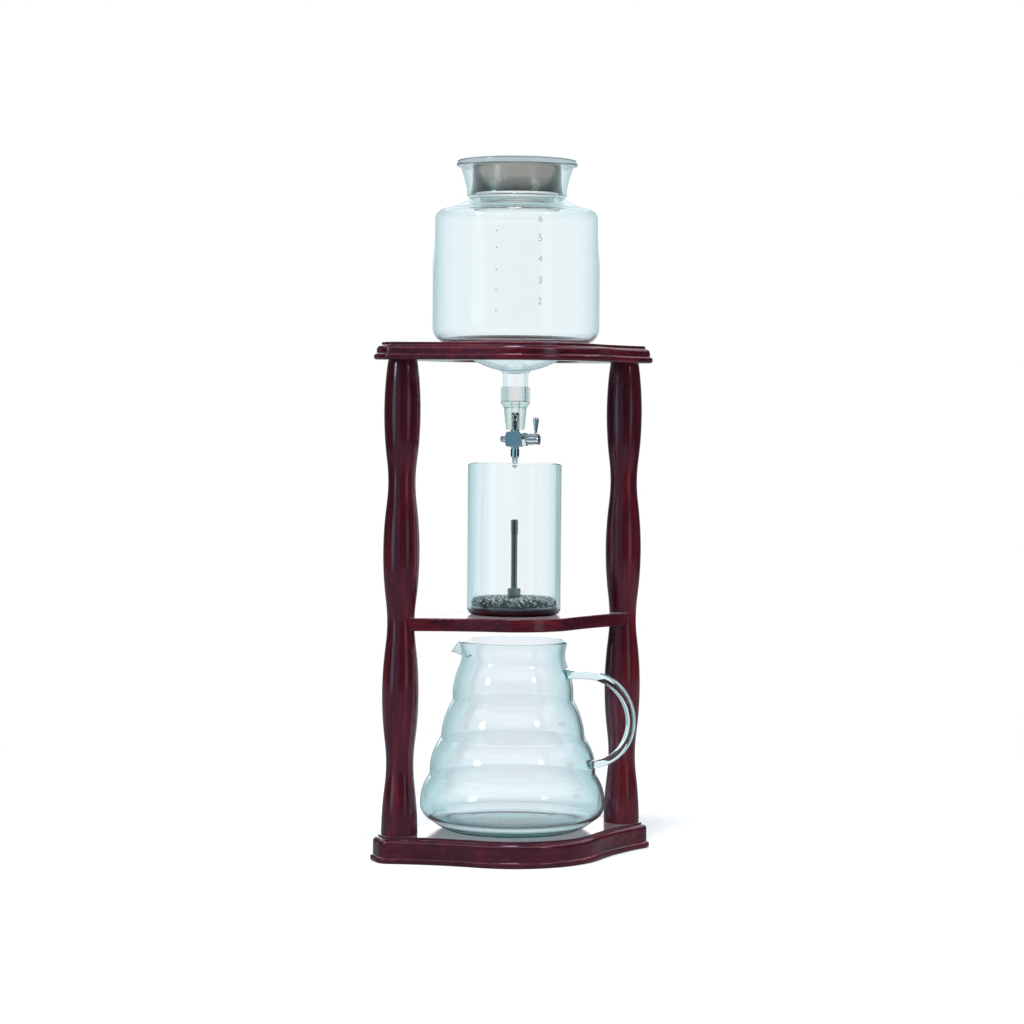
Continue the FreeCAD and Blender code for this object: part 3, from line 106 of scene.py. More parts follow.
def sectionPoints(corners, turnPerStep=7.5):
    # a corner is (away from the axis, up) or (away, up, radius of the arc to the next corner)
    line = [corners[0][:2]]
    for corner, after in zip(corners, corners[1:]):
        bow = corner[2] if len(corner) == 3 else 0
        line += bowPoints(corner[:2], after[:2], bow, turnPerStep)
    return line


def backwards(corners):
    turned = []
    for number in range(len(corners) - 1, -1, -1):
        bow = corners[number - 1][2:] if number else ()
        turned.append(corners[number][:2] + tuple(-radius for radius in bow))
    return turned


def moved(corners, up, away=0):
    return [(corner[0] + away, corner[1] + up) + corner[2:] for corner in corners]


def outline(settings, *stretches):
    # a section in stretches, each named with the height, and radius, that it is measured from
    return [corner for name, *place in stretches for corner in moved(settings[name], *place)]


def swing(wide, narrow, rise):
    # radius of an arc that starts upright and moves in by wide - narrow over a rise
    return ((wide - narrow) ** 2 + rise ** 2) / (2 * (wide - narrow))


def lathe(name, corners, steps=96, turnPerStep=7.5):
    # one point is drawn into the half section and spun once round the Z axis; a section that
    # starts away from the axis is closed
    line = sectionPoints(corners + [corners[0][:2]] if corners[0][0] else corners, turnPerStep)
    deselectAll()
    bpy.ops.mesh.primitive_plane_add(size=0.001)
    piece = named(name)
    bpy.ops.object.mode_set(mode="EDIT")
    bpy.ops.mesh.select_mode(type="VERT")
    bpy.ops.mesh.select_all(action="SELECT")
    bpy.ops.mesh.merge(type="CENTER")
    bpy.ops.transform.translate(value=(line[0][0], 0, line[0][1]))
    for (x0, z0), (x1, z1) in zip(line, line[1:]):
        bpy.ops.mesh.extrude_region_move(
            TRANSFORM_OT_translate={"value": (x1 - x0, 0, z1 - z0)})
    bpy.ops.mesh.select_all(action="SELECT")
    bpy.ops.mesh.spin(steps=steps, angle=2 * math.pi, center=(0, 0, 0), axis=(0, 0, 1))
    bpy.ops.mesh.select_all(action="SELECT")
    bpy.ops.mesh.remove_doubles(threshold=weld)
    bpy.ops.object.mode_set(mode="OBJECT")
    return faceOutwards(settle(piece))


def faceOutwards(piece):
    whole = sum(face.area * face.normal.dot(face.center) for face in piece.data.polygons)
    if whole < 0:
        edited(piece, bpy.ops.mesh.flip_normals)
    return piece


def editWith(piece, test=None, kind="VERT"):
    # opens the piece for editing, with the points, edges or faces chosen that pass the test
    selectOnly(piece)
    bpy.ops.object.mode_set(mode="EDIT")
    bpy.ops.mesh.select_mode(type=kind)
    bpy.ops.mesh.select_all(action="DESELECT" if test else "SELECT")
    bpy.ops.object.mode_set(mode="OBJECT")
    if test:
        mesh = piece.data
        parts = {"VERT": mesh.vertices, "EDGE": mesh.edges, "FACE": mesh.polygons}[kind]
        for part in parts:
            part.select = bool(test(part))
    bpy.ops.object.mode_set(mode="EDIT")


def doneEditing():
    bpy.ops.object.mode_set(mode="OBJECT")


def edited(piece, action, test=None, kind="VERT", **values):
    # one mesh operator, run on what passes the test, or on all
    editWith(piece, test, kind)
    action(**values)
    doneEditing()


def named(name):
    # the object that the last operator made
    piece = bpy.context.object
    piece.name = piece.data.name = name
    return piece


def joined(name, *pieces):
    selectOnly(*pieces)
    bpy.ops.object.join()
    return named(name)


def prism(name, sides, radius, low, high):
    deselectAll()
    bpy.ops.mesh.primitive_cylinder_add(vertices=sides, radius=radius, depth=high - low,
                                        location=(0, 0, (high + low) / 2))
    return settle(named(name))


def dress(piece, material, body, slot, *nodes):
    piece.data.materials.clear()
    piece.data.materials.append(material)
    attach(piece, body)
    if nodes:
        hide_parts(*nodes)


def paint(material, *nodes):
    for node in nodes:
        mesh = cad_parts[node].data
        mesh.materials.clear()
        mesh.materials.append(material)


# helpers for materials

def newMaterial(name):
    material = bpy.data.materials.new(name)
    material.use_nodes = True
    material.node_tree.nodes.clear()
    return material, material.node_tree


def feed(tree, value, socket):
    if isinstance(value, bpy.types.NodeSocket):
        tree.links.new(value, socket)
    else:
        socket.default_value = value


def add(tree, kind, settings=None, *values, **sockets):
    # values fill the node's sockets in their order, sockets are given by name
    node = tree.nodes.new("ShaderNode" + kind)
    for name, value in (settings or {}).items():
        setattr(node, name, value)
    for socket, value in zip(node.inputs, values):
        feed(tree, value, socket)
    for name, value in sockets.items():
        feed(tree, value, node.inputs[name.replace("_", " ")])
    return node


def worked(tree, operation, *values, clamp=False):
    node = add(tree, "Math", {"operation": operation, "use_clamp": clamp}, *values)
    return node.outputs[0]


def mapped(tree, value, low, high, toLow=0.0, toHigh=1.0, kind="LINEAR"):
    node = add(tree, "MapRange", {"interpolation_type": kind}, value, low, high, toLow, toHigh)
    return node.outputs["Result"]


def mixed(tree, factor, first, second, kind="MIX"):
    node = add(tree, "Mix", {"data_type": "RGBA", "blend_type": kind}, factor)
    for socket, colour in zip(node.inputs[6:8], (first, second)):    # its two colour sockets
        feed(tree, colour, socket)
    return node.outputs[2]


def along(tree, place, way):
    # how far that place lies along the way
    return add(tree, "VectorMath", {"operation": "DOT_PRODUCT"}, place, way).outputs["Value"]


def reflected(tree, depth, times):
    # 1 for a ray that was reflected that often or more, else 0
    return mapped(tree, depth, times - 0.6, times - 0.4)


def turnedAside(tree):
    # 0 where the surface faces the view, 1 where it is seen edge on
    return add(tree, "LayerWeight", Blend=0.5).outputs["Facing"]


def rgba(colour):
    return (*colour, 1)


def ramp(tree, source, *stops):
    node = add(tree, "ValToRGB", Fac=source)
    elements = node.color_ramp.elements
    while len(elements) < len(stops):
        elements.new(0.5)
    for element, (position, colour) in zip(elements, stops):
        element.position = position
        element.color = rgba(colour)
    return node.outputs["Color"]


def objectPlace(tree, scale=(1, 1, 1), turn=(0, 0, 0)):
    place = add(tree, "TexCoord").outputs["Object"]
    return add(tree, "Mapping", Vector=place, Scale=scale, Rotation=turn).outputs["Vector"]


def output(tree, **shaders):
    add(tree, "OutputMaterial", **shaders)


camera = {
    "distance": 1.9773,      # lens to the axis of the glassware, level
    "height": 0.32896,
    "heading": 22.55,        # degrees to the right of the +Y axis
    "roll": -0.44,
    "focal": 93.555,
    "shift": (-0.0032, -0.0992),
}


def makeCamera():
    heading = math.radians(camera["heading"])
    away = camera["distance"]
    bpy.ops.object.camera_add(
        location=(-away * math.sin(heading), -away * math.cos(heading), camera["height"]),
        rotation=(math.radians(90), math.radians(camera["roll"]), -heading))
    eye = bpy.context.object
    eye.name = "viewCamera"
    eye.data.sensor_width = 36
    eye.data.lens = camera["focal"]
    eye.data.shift_x, eye.data.shift_y = camera["shift"]
    scene.camera = eye


studio = {
    "floorSize": 3.4,
    "floorColour": (0.78, 0.82, 0.84), "floorMirrored": (0.16, 0.23, 0.27),
    "floorGlow": 0.36, "mirroredGlow": 0.10,    # of the floor as seen and as mirrored
    "nearFloor": 0.22, "farFloor": 0.75,    # its shading fades to white between them
    "mirroredRoom": [    # what gloss mirrors, from behind the camera to behind the stand
        (0.30, (0.035, 0.050, 0.060)), (0.80, (0.04, 0.06, 0.07)), (0.93, (0.12, 0.17, 0.18)),
        (0.99, (0.55, 0.65, 0.68))],
    "panels": [    # towards, colour, where its edge fades out and in
        ((-0.793, -0.609, 0.0), (0.12, 0.25, 0.32), 0.90, 0.97),
        ((-0.975, -0.223, 0.0), (0.55, 1.50, 1.40), 0.980, 0.992),
        ((0.350, -0.937, 0.0), (0.45, 0.95, 0.90), 0.983, 0.994)],
    "backdropLow": (0.050, 0.085), "backdropEdge": (0.86, 0.95),
    "backdropColour": (1, 0.97, 0.99), "backdropGlow": 2.6,
    "mirroredOnce": [    # the room in gloss that is itself behind glass
        (0.04, (0.02, 0.035, 0.04)), (0.16, (0.22, 0.29, 0.31)), (0.42, (0.42, 0.50, 0.52)),
        (0.72, (0.90, 0.96, 0.97))],
    "loft": ((0.40, 0.50), (0.80, 0.90)),    # a bright band high up, where it fades in and out
    "loftColour": (1.45, 1.25, 1.4),
    "seenThrough": [    # the same room through glass, by how far the glass has bent the view
        (0.50, (0.52, 0.63, 0.65)), (0.85, (0.60, 0.72, 0.75)), (0.97, (0.84, 0.93, 0.95)),
        (0.995, (1.0, 1.01, 1.03))],
    "sky": 0.42,    # how strongly the room lights matt faces
    "aim": (0, 0, 0.24),
    "lamps": [
        {"name": "keyLamp", "place": (-2.13, -0.55, 0.955), "size": 0.42, "power": 14.5,
         "colour": (0.90, 1.0, 0.98)},
        {"name": "fillLamp", "place": (0.66, -1.78, 1.02), "size": 0.30, "power": 6.0,
         "colour": (1.0, 0.86, 0.92)},
        {"name": "overheadLamp", "place": (-0.22, -0.42, 1.75), "size": 0.34, "power": 16.0,
         "colour": (1.0, 0.97, 1.0)},
    ],
    "discs": [(1.12, 0.33), (0.82, 0.35), (0.50, 0.32)],    # a lamp fades towards its rim
}


def awayFromCamera():
    heading = math.radians(camera["heading"])
    return (math.sin(heading), math.cos(heading), 0)


def makeWorld():
    world = bpy.data.worlds.new("studioWorld")
    scene.world = world
    world.use_nodes = True
    tree = world.node_tree
    tree.nodes.clear()
    place = add(tree, "TexCoord").outputs["Generated"]

    def between(value, low, high, to=1.0):
        return mapped(tree, value, low, high, 0.0, to, "SMOOTHSTEP")

    def light(colour, strength=1.0):
        return add(tree, "Background", None, colour, strength).outputs[0]

    def choose(ray, shader, other):
        return add(tree, "MixShader", None, ray, shader, other).outputs[0]

    ahead = along(tree, place, awayFromCamera())
    share = mapped(tree, ahead, -1.0, 1.0)
    up = add(tree, "SeparateXYZ", Vector=place).outputs["Z"]
    rise, fall = studio["loft"]
    lights = [light(rgba(colour), between(along(tree, place, way), low, high))
              for way, colour, low, high in studio["panels"]]
    lights += [
        light(rgba(studio["backdropColour"]), worked(
            tree, "MULTIPLY", between(up, *studio["backdropLow"]),
            between(ahead, *studio["backdropEdge"], studio["backdropGlow"]))),
        light(rgba(studio["loftColour"]), worked(
            tree, "MULTIPLY", between(up, *rise), between(up, *reversed(fall))))]
    gloss = light(ramp(tree, share, *studio["mirroredRoom"]))
    for added in lights:
        gloss = add(tree, "AddShader", None, gloss, added).outputs[0]

    # a refracted ray counts as glossy too, and glossy depth counts the reflections before it
    rays = add(tree, "LightPath").outputs
    depth = rays["Glossy Depth"]
    plain = light(ramp(tree, share, *studio["seenThrough"]))
    seen = choose(reflected(tree, depth, 1), plain,
                  light(ramp(tree, share, *studio["mirroredOnce"])))
    shade = light(rgba((1, 1, 1)), studio["sky"])
    shade = choose(rays["Is Glossy Ray"], shade, gloss)
    shade = choose(rays["Is Transmission Ray"], shade, seen)
    shade = choose(reflected(tree, depth, 2), shade, plain)
    shade = choose(rays["Is Camera Ray"], shade, light(rgba((1, 1, 1))))
    add(tree, "OutputWorld", Surface=shade)


def makeLamps():
    for lamp in studio["lamps"]:
        way = Vector(studio["aim"]) - Vector(lamp["place"])
        for size, share in studio["discs"]:
            bpy.ops.object.light_add(type="AREA", location=lamp["place"],
                                     rotation=way.to_track_quat("-Z", "Y").to_euler())
            light = bpy.context.object
            light.name = lamp["name"]
            light.data.shape = "DISK"
            light.data.size = lamp["size"] * size
            light.data.energy = lamp["power"] * share
            light.data.color = lamp["colour"]
            light.visible_camera = False
            light.visible_transmission = False


def makeFloor():
    # matt and shaded near the stand, plain white where it runs out to the horizon
    material, tree = newMaterial("floorWhite")
    rays = add(tree, "LightPath").outputs
    through = rays["Is Transmission Ray"]
    place = objectPlace(tree)
    away = add(tree, "VectorMath", {"operation": "LENGTH"}, place).outputs["Value"]
    far = mapped(tree, away, studio["nearFloor"], studio["farFloor"], kind="SMOOTHSTEP")
    seen = worked(tree, "ADD", rays["Is Camera Ray"], through, clamp=True)
    mirrored = worked(tree, "SUBTRACT", rays["Is Glossy Ray"], through, clamp=True)
    matt = add(tree, "BsdfDiffuse", Color=mixed(
        tree, mirrored, rgba(studio["floorColour"]), rgba(studio["floorMirrored"])))
    lift = add(tree, "Emission", Strength=mapped(
        tree, seen, 0.0, 1.0, studio["mirroredGlow"], studio["floorGlow"]))
    near = add(tree, "AddShader", None, matt.outputs[0], lift.outputs[0])
    straight = add(tree, "VectorMath", {"operation": "NORMALIZE"}, place).outputs["Vector"]
    bent = mapped(tree, along(tree, straight, awayFromCamera()), -1.0, 1.0)
    paper = mixed(tree, through, rgba((1, 1, 1)), ramp(tree, bent, *studio["seenThrough"]))
    white = add(tree, "Emission", Strength=1.0, Color=paper)
    total = add(tree, "MixShader", None, worked(tree, "MULTIPLY", far, seen, clamp=True),
                near.outputs[0], white.outputs[0])
    output(tree, Surface=total.outputs[0])
    deselectAll()
    bpy.ops.mesh.primitive_plane_add(size=studio["floorSize"])
    floor = bpy.context.object
    floor.name = "studioFloor"
    floor.data.materials.append(material)


glassLook = {
    "shadowTint": (0.93, 0.96, 0.96),
    "ripple": 0.02, "rippleDepth": 0.002, "waves": (22, 22, 9),    # waves per metre
    "mirroredTint": 0.1,    # how much of the surface tint is left after a reflection
}


def makeGlass(name, tint, density, *edge, refraction=1.47, roughness=0.0):
    # tint and density colour the glass within, edge gives each surface's tint by its turn aside
    material, tree = newMaterial(name)
    waves = add(tree, "TexNoise", Vector=objectPlace(tree, glassLook["waves"]), Scale=1.0,
                Detail=1.0)
    bump = add(tree, "Bump", Strength=glassLook["ripple"], Distance=glassLook["rippleDepth"],
               Height=waves.outputs["Fac"])
    rays = add(tree, "LightPath").outputs
    depth = rays["Glossy Depth"]
    turned = worked(tree, "MULTIPLY", turnedAside(tree),
                    mapped(tree, depth, 0.0, 1.0, 1.0, glassLook["mirroredTint"]))
    body = add(tree, "BsdfPrincipled", Base_Color=ramp(tree, turned, *edge),
               Roughness=roughness, Transmission_Weight=1.0, IOR=refraction,
               Normal=bump.outputs["Normal"])
    passing = add(tree, "BsdfTransparent", Color=rgba(glassLook["shadowTint"]))
    trapped = reflected(tree, depth, 3)    # such a ray goes straight on
    surface = add(tree, "MixShader", None,
                  worked(tree, "MAXIMUM", rays["Is Shadow Ray"], trapped),
                  body.outputs[0], passing.outputs[0])
    inside = add(tree, "VolumeAbsorption", Color=rgba(tint), Density=density)
    output(tree, Surface=surface.outputs[0], Volume=inside.outputs[0])
    return material


woodLook = {
    "stain": [(0.34, (0.013, 0.0020, 0.0060)), (0.50, (0.050, 0.0046, 0.0098)),
              (0.66, (0.140, 0.0110, 0.0130))],
    "bloom": (1.0, 0.86, 0.93),    # a pale veil on the level faces, seen along them
    "bloomOn": (0.90, 0.98), "bloomSpread": 0.22,
    "streaks": (260.0, 9.0), "figure": (34.0, 3.0),    # per metre, across and along the grain
    "streakShare": 0.45, "grainDepth": 0.0006,
    "gloss": 0.13, "shine": 0.62, "shineTint": (1.0, 0.76, 0.98),
}


def makeWood(name, axis):
    # red-brown stain over straight grain along that axis, under a clear gloss lacquer
    material, tree = newMaterial(name)
    fine, broad = [[woodLook[kind][0]] * 3 for kind in ("streaks", "figure")]
    fine[axis], broad[axis] = woodLook["streaks"][1], woodLook["figure"][1]
    figure = add(tree, "TexNoise", Vector=objectPlace(tree, broad), Scale=1.0, Detail=4.0,
                 Roughness=0.55, Distortion=0.15)
    streaks = add(tree, "TexNoise", Vector=objectPlace(tree, fine), Scale=1.0, Detail=6.0,
                  Roughness=0.65)
    share = woodLook["streakShare"]
    blend = worked(tree, "MULTIPLY_ADD", streaks.outputs["Fac"], share,
                   worked(tree, "MULTIPLY", figure.outputs["Fac"], 1 - share))
    level = add(tree, "SeparateXYZ", Vector=add(tree, "NewGeometry").outputs["Normal"])
    grain = add(tree, "Bump", Strength=0.06, Distance=woodLook["grainDepth"],
                Height=streaks.outputs["Fac"])
    body = add(tree, "BsdfPrincipled", Base_Color=ramp(tree, blend, *woodLook["stain"]),
               Roughness=woodLook["gloss"], IOR=1.5,
               Specular_Tint=rgba(woodLook["shineTint"]), Specular_IOR_Level=woodLook["shine"],
               Sheen_Weight=mapped(tree, level.outputs["Z"], *woodLook["bloomOn"]),
               Sheen_Roughness=woodLook["bloomSpread"], Sheen_Tint=rgba(woodLook["bloom"]),
               Normal=grain.outputs["Normal"])
    output(tree, Surface=body.outputs[0])
    return material


metalLook = {"marks": 900, "markRange": (0.3, 0.7)}


def makeMetal(name, colour, roughness, scratch):
    # scratch is how much rougher its dullest spots are
    material, tree = newMaterial(name)
    marks = add(tree, "TexNoise", Vector=objectPlace(tree, [metalLook["marks"]] * 3), Scale=1.0,
                Detail=3.0)
    rough = mapped(tree, marks.outputs["Fac"], *metalLook["markRange"], roughness,
                   roughness + scratch)
    body = add(tree, "BsdfPrincipled", Base_Color=rgba(colour), Metallic=1.0, Roughness=rough)
    output(tree, Surface=body.outputs[0])
    return material


# painted glints on the wire cloth: the size of each cell per metre, and its colours from dark to
# bright
weaveLook = {"paintedGlintScale": 640.0, "paintedLightTints": [(0.40, (0.05, 0.065, 0.065)), (0.95, (0.90, 0.98, 0.98))]}


def makeWeave():
    # steel cloth with painted glints: random cells of its colour are dark or bright, as if its
    # crossings caught the light one by one
    material, tree = newMaterial("wireSteel")
    cells = add(tree, "TexVoronoi", Vector=objectPlace(tree), Scale=weaveLook["paintedGlintScale"])
    shade = add(tree, "SeparateColor", Color=cells.outputs["Color"]).outputs[0]
    tint = ramp(tree, shade, *weaveLook["paintedLightTints"])
    body = add(tree, "BsdfPrincipled", Base_Color=tint, Metallic=1.0, Roughness=0.25)
    output(tree, Surface=body.outputs[0])
    return material


plasticLook = {"clouds": 120, "darker": 0.90, "refraction": 1.46}


def makePlastic(name, colour, roughness):
    # solid colour that clouds over a little
    material, tree = newMaterial(name)
    cloud = add(tree, "TexNoise", Vector=objectPlace(tree, [plasticLook["clouds"]] * 3),
                Scale=1.0, Detail=2.0)
    low = tuple(c * plasticLook["darker"] for c in colour)
    tint = ramp(tree, cloud.outputs["Fac"], (0.35, low), (0.65, colour))
    body = add(tree, "BsdfPrincipled", Base_Color=tint, Roughness=roughness,
               IOR=plasticLook["refraction"])
    output(tree, Surface=body.outputs[0])
    return material


# painted light of the lid's plug: its grey from low to high, lighter at the top, and the painted
# shade of its sides by their turn aside, eased towards the top
smokeLook = {"low": 0.4890, "high": 0.5050, "sideShadeTopEase": -0.3,
             "paintedLightTints": [(0.0, (0.035, 0.033, 0.031)), (0.30, (0.112, 0.104, 0.094)),
                       (0.75, (0.235, 0.210, 0.186))],
             "aside": [(0.08, (1, 1, 1)), (0.22, (0.26, 0.34, 0.37)), (0.36, (0.03, 0.06, 0.07))]}


def makeSmoke():
    # smoke-grey plastic with painted light: lighter towards its open top, where light gets in, and
    # painted shade on its sides where they turn aside
    material, tree = newMaterial("smokePlastic")
    up = add(tree, "SeparateXYZ", Vector=objectPlace(tree)).outputs["Z"]
    share = mapped(tree, up, smokeLook["low"], smokeLook["high"])
    tint = ramp(tree, share, *smokeLook["paintedLightTints"])
    # painted shade: sides seen edge on darken, in place of dark reflections, less so near the top
    turned = worked(tree, "MULTIPLY_ADD", share, smokeLook["sideShadeTopEase"], turnedAside(tree))
    deep = mixed(tree, 1.0, tint, ramp(tree, turned, *smokeLook["aside"]), "MULTIPLY")
    body = add(tree, "BsdfPrincipled", Base_Color=deep, Roughness=0.22, Coat_Weight=0.5,
               Coat_Roughness=0.12)
    output(tree, Surface=body.outputs[0])
    return material


makeCamera()
makeWorld()
makeLamps()
makeFloor()
print("camera, lamps and floor made")

tankGlass = makeGlass(
    "tankGlass", (0.10, 0.86, 0.92), 18.0, (0.0, (1.0, 1.0, 1.0)), (0.35, (0.96, 0.985, 0.99)),
    (0.65, (0.80, 0.89, 0.905)), (0.95, (0.50, 0.67, 0.71)))
dripperClear = makeGlass(
    "dripperGlass", (0.10, 0.86, 0.92), 18.0, (0.0, (1.0, 1.0, 1.0)), (0.30, (0.93, 0.975, 0.98)),
    (0.60, (0.70, 0.835, 0.86)), (0.95, (0.42, 0.60, 0.64)))
carafeClear = makeGlass(
    "carafeGlass", (0.20, 0.72, 0.66), 26.0, (0.0, (0.945, 0.96, 0.98)),
    (0.20, (0.91, 0.945, 0.96)), (0.45, (0.68, 0.82, 0.85)), (0.85, (0.40, 0.57, 0.61)))
lidClear = makeGlass(
    "lidClear", (0.34, 0.47, 0.49), 11.0, (0.0, (1.0, 1.0, 1.0)), (0.40, (0.93, 0.955, 0.96)),
    (0.90, (0.50, 0.62, 0.66)))
boardWood = makeWood("boardWood", 0)
columnWood = makeWood("columnWood", 2)
plainWood = makePlastic("plainBeech", (0.55, 0.38, 0.22), 0.6)
chromed = makeMetal("chromed", (0.66, 0.71, 0.74), 0.05, 0.05)
satin = makeMetal("satinChrome", (0.60, 0.66, 0.70), 0.09, 0.03)
filterSteel = makeMetal("filterSteel", (0.31, 0.35, 0.36), 0.08, 0.06)
wireSteel = makeWeave()
zinc = makeMetal("zincPlate", (0.6, 0.6, 0.58), 0.3, 0.1)
silicone = makeGlass(
    "milkySilicone", (0.74, 0.88, 0.85), 60.0, (0.0, (0.985, 0.945, 0.935)),
    (0.20, (0.78, 0.83, 0.82)), (0.55, (0.56, 0.67, 0.66)), (0.90, (0.48, 0.59, 0.58)),
    refraction=1.22, roughness=0.10)
sealSilicone = makeGlass(
    "sealSilicone", (0.82, 0.90, 0.87), 26.0, (0.0, (1.0, 0.97, 0.95)),
    (0.20, (0.92, 0.94, 0.92)), (0.55, (0.76, 0.83, 0.81)), (0.90, (0.62, 0.71, 0.69)),
    refraction=1.22, roughness=0.10)
smoke = makeSmoke()
printGrey = makePlastic("printGrey", (0.40, 0.45, 0.47), 0.6)
printPale = makePlastic("printPale", (0.50, 0.60, 0.62), 0.6)
gasket = makePlastic("blackGasket", (0.012, 0.013, 0.014), 0.35)
# painted shade: the near-black sheet under the wire cloth
clothShade = makeMetal("clothShade", (0.030, 0.036, 0.036), 0.40, 0.10)
packing = makePlastic("packingRing", (0.85, 0.85, 0.82), 0.5)
print("materials made")


tank = {
    "wall": 0.0020,
    "tubeRadius": 0.0094, "tubeFillet": 0.0040,
    "domeArc": 0.0636, "domeFoot": 0.0470,
    "footCorner": 0.0120,
    "straightTop": 0.0925,
    "shoulderCorner": 0.0080, "shoulderSlope": 24.5,
    "mouthRadius": 0.0383, "mouthFillet": 0.0040, "mouthStraight": 0.0040,
    "flareHeight": 0.0162, "flareReach": 0.0036,
    "steps": 128,
}


def tankSkin(depth, seat, drop, radius):
    # section from the outlet to the lip, depth inside the outer face
    tube, tubeFillet, dome, foot, straight, shoulder, mouth, mouthFillet, flare, reach = (
        tank[size] for size in (
            "tubeRadius", "tubeFillet", "domeArc", "footCorner", "straightTop",
            "shoulderCorner", "mouthRadius", "mouthFillet", "flareHeight", "flareReach"))
    slope = math.radians(tank["shoulderSlope"])
    domeUp = math.sqrt(dome ** 2 - tank["domeFoot"] ** 2)
    filletAway = tube + tubeFillet
    filletFall = math.sqrt((dome + tubeFillet) ** 2 - filletAway ** 2)
    share = (dome - depth) / (dome + tubeFillet)
    domeIn = math.sqrt((dome - depth) ** 2 - (domeUp - depth) ** 2)
    corner, fillet = shoulder - depth, mouthFillet + depth
    lean = 1 - math.sin(slope)
    mouthUp = (straight + shoulder * math.cos(slope)
               + (radius - shoulder * lean - mouth - mouthFillet * lean) * math.tan(slope)
               + mouthFillet * math.cos(slope))
    flareUp = mouthUp + tank["mouthStraight"]
    return moved([
        (tube - depth, drop), (tube - depth, domeUp - filletFall, -(tubeFillet + depth)),
        (filletAway * share, domeUp - filletFall * share, dome - depth), (domeIn, depth),
        (radius - foot, depth, foot - depth), (radius - depth, foot),
        (radius - depth, straight, corner),
        (radius - shoulder + corner * math.sin(slope), straight + corner * math.cos(slope)),
        (mouth + mouthFillet - fillet * math.sin(slope), mouthUp - fillet * math.cos(slope),
         -fillet),
        (mouth - depth, mouthUp),
        (mouth - depth, flareUp, -(swing(reach, 0, flare) + depth)),
        (mouth + reach - depth, flareUp + flare - tank["wall"] / 2)], seat)


def makeTank():
    low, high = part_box("tank_glass")
    seat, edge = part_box("top_board")[1].z, tank["wall"] / 2
    outside, inside = (tankSkin(depth, seat, low.z - seat + edge, high.x)
                       for depth in (0, tank["wall"]))
    inside = backwards(inside)
    outside[-1] += (edge,)
    inside[-1] += (edge,)
    piece = lathe("tankShell", outside + inside, tank["steps"], turnPerStep=6)
    dress(smooth(piece, 60), tankGlass, "tank", "glass", "tank_glass")


makeTank()
print("tank made")


dripper = {"wall": 0.0020, "floor": 0.0022, "corner": 0.0050, "lipRadius": 0.0090,
           "lipWall": 0.0018, "lipFillet": 0.0006, "steps": 112}


def makeDripper():
    low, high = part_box("dripper_glass")
    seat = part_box("shelf_board")[1].z
    radius, wall, corner = high.x, dripper["wall"], dripper["corner"]
    lip, edge, fillet = dripper["lipRadius"], dripper["lipWall"] / 2, dripper["lipFillet"]
    inner, hole = radius - wall, lip - dripper["lipWall"]
    floor, bend = seat + dripper["floor"], corner - wall
    rim = high.z - wall / 2
    piece = lathe("dripperShell", [
        (hole, low.z + edge, edge), (lip, low.z + edge),
        (lip, seat - fillet, -fillet), (lip + fillet, seat),
        (radius - corner, seat, corner), (radius, seat + corner),
        (radius, rim, wall / 2), (inner, rim),
        (inner, floor + bend, -bend), (inner - bend, floor),
        (hole, floor)], dripper["steps"])
    dress(smooth(piece, 60), dripperClear, "dripper", "glass", "dripper_glass")


makeDripper()
print("dripper made")


# the carafe, its spout and its handle are one piece of glass
carafe = {
    "wall": 0.0020, "floor": 0.0030, "pushUp": 0.0025, "steps": 180,
    "footRadius": 0.0500, "footBand": 0.0040, "footLift": 0.0004, "footArcs": (0.0052, 0.040),
    "innerHeel": 0.012, "innerFloor": 0.30,    # radii of the inner wall's foot and floor
    "innerRise": 0.001,    # of the glass above the foot's ring
    "heel": (0.0615, 0.0073), "belly": (0.06875, 0.0191),
    "waists": [(0.0615, 0.0406), (0.0533, 0.0676), (0.0447, 0.0956)],
    "waveArcs": [0.040, 0.058, 0.050], "waistEase": 0.0032,
    "neckBend": (0.0406, 0.1195), "neckArc": 0.025,
    "throat": (0.0383, 0.1300), "throatArc": 0.051,
    "rimRadius": 0.0400,
    "spoutHeading": 135.5,
    "spoutGrip": (0.0012, 0.0028, 0.0009),    # down, inwards and to each side of the rim's edge
    "spoutPull": (0.0098, 0.0092, 0.0125),    # out, down, how far round it draws the wall along
}


def arcCentre(start, end, radius):
    # of an arc that bows away from the axis on its way up
    away, up = end[0] - start[0], end[1] - start[1]
    chord = math.hypot(away, up)
    rise = math.sqrt(radius ** 2 - chord ** 2 / 4)
    return ((start[0] + end[0]) / 2 - up / chord * rise,
            (start[1] + end[1]) / 2 + away / chord * rise)


def easedWaist(lower, upper, depth):
    # the two ends of the small hollow arc that joins one wave to the next
    (x0, z0), lowArc = lower
    (x1, z1), highArc = upper
    ease = carafe["waistEase"]
    near, far = lowArc + ease, highArc + ease
    apart = math.hypot(x1 - x0, z1 - z0)
    reach = (apart ** 2 + near ** 2 - far ** 2) / (2 * apart)
    off = math.sqrt(near ** 2 - reach ** 2)
    ways = (x1 - x0) / apart, (z1 - z0) / apart
    x, z = max((x0 + ways[0] * reach + side * ways[1] * off,
                z0 + ways[1] * reach - side * ways[0] * off) for side in (1, -1))
    low, high = (lowArc - depth) / near, (highArc - depth) / far
    return [(x0 + (x - x0) * low, z0 + (z - z0) * low, -(ease + depth)),
            (x1 + (x - x1) * high, z1 + (z - z1) * high, highArc - depth)]


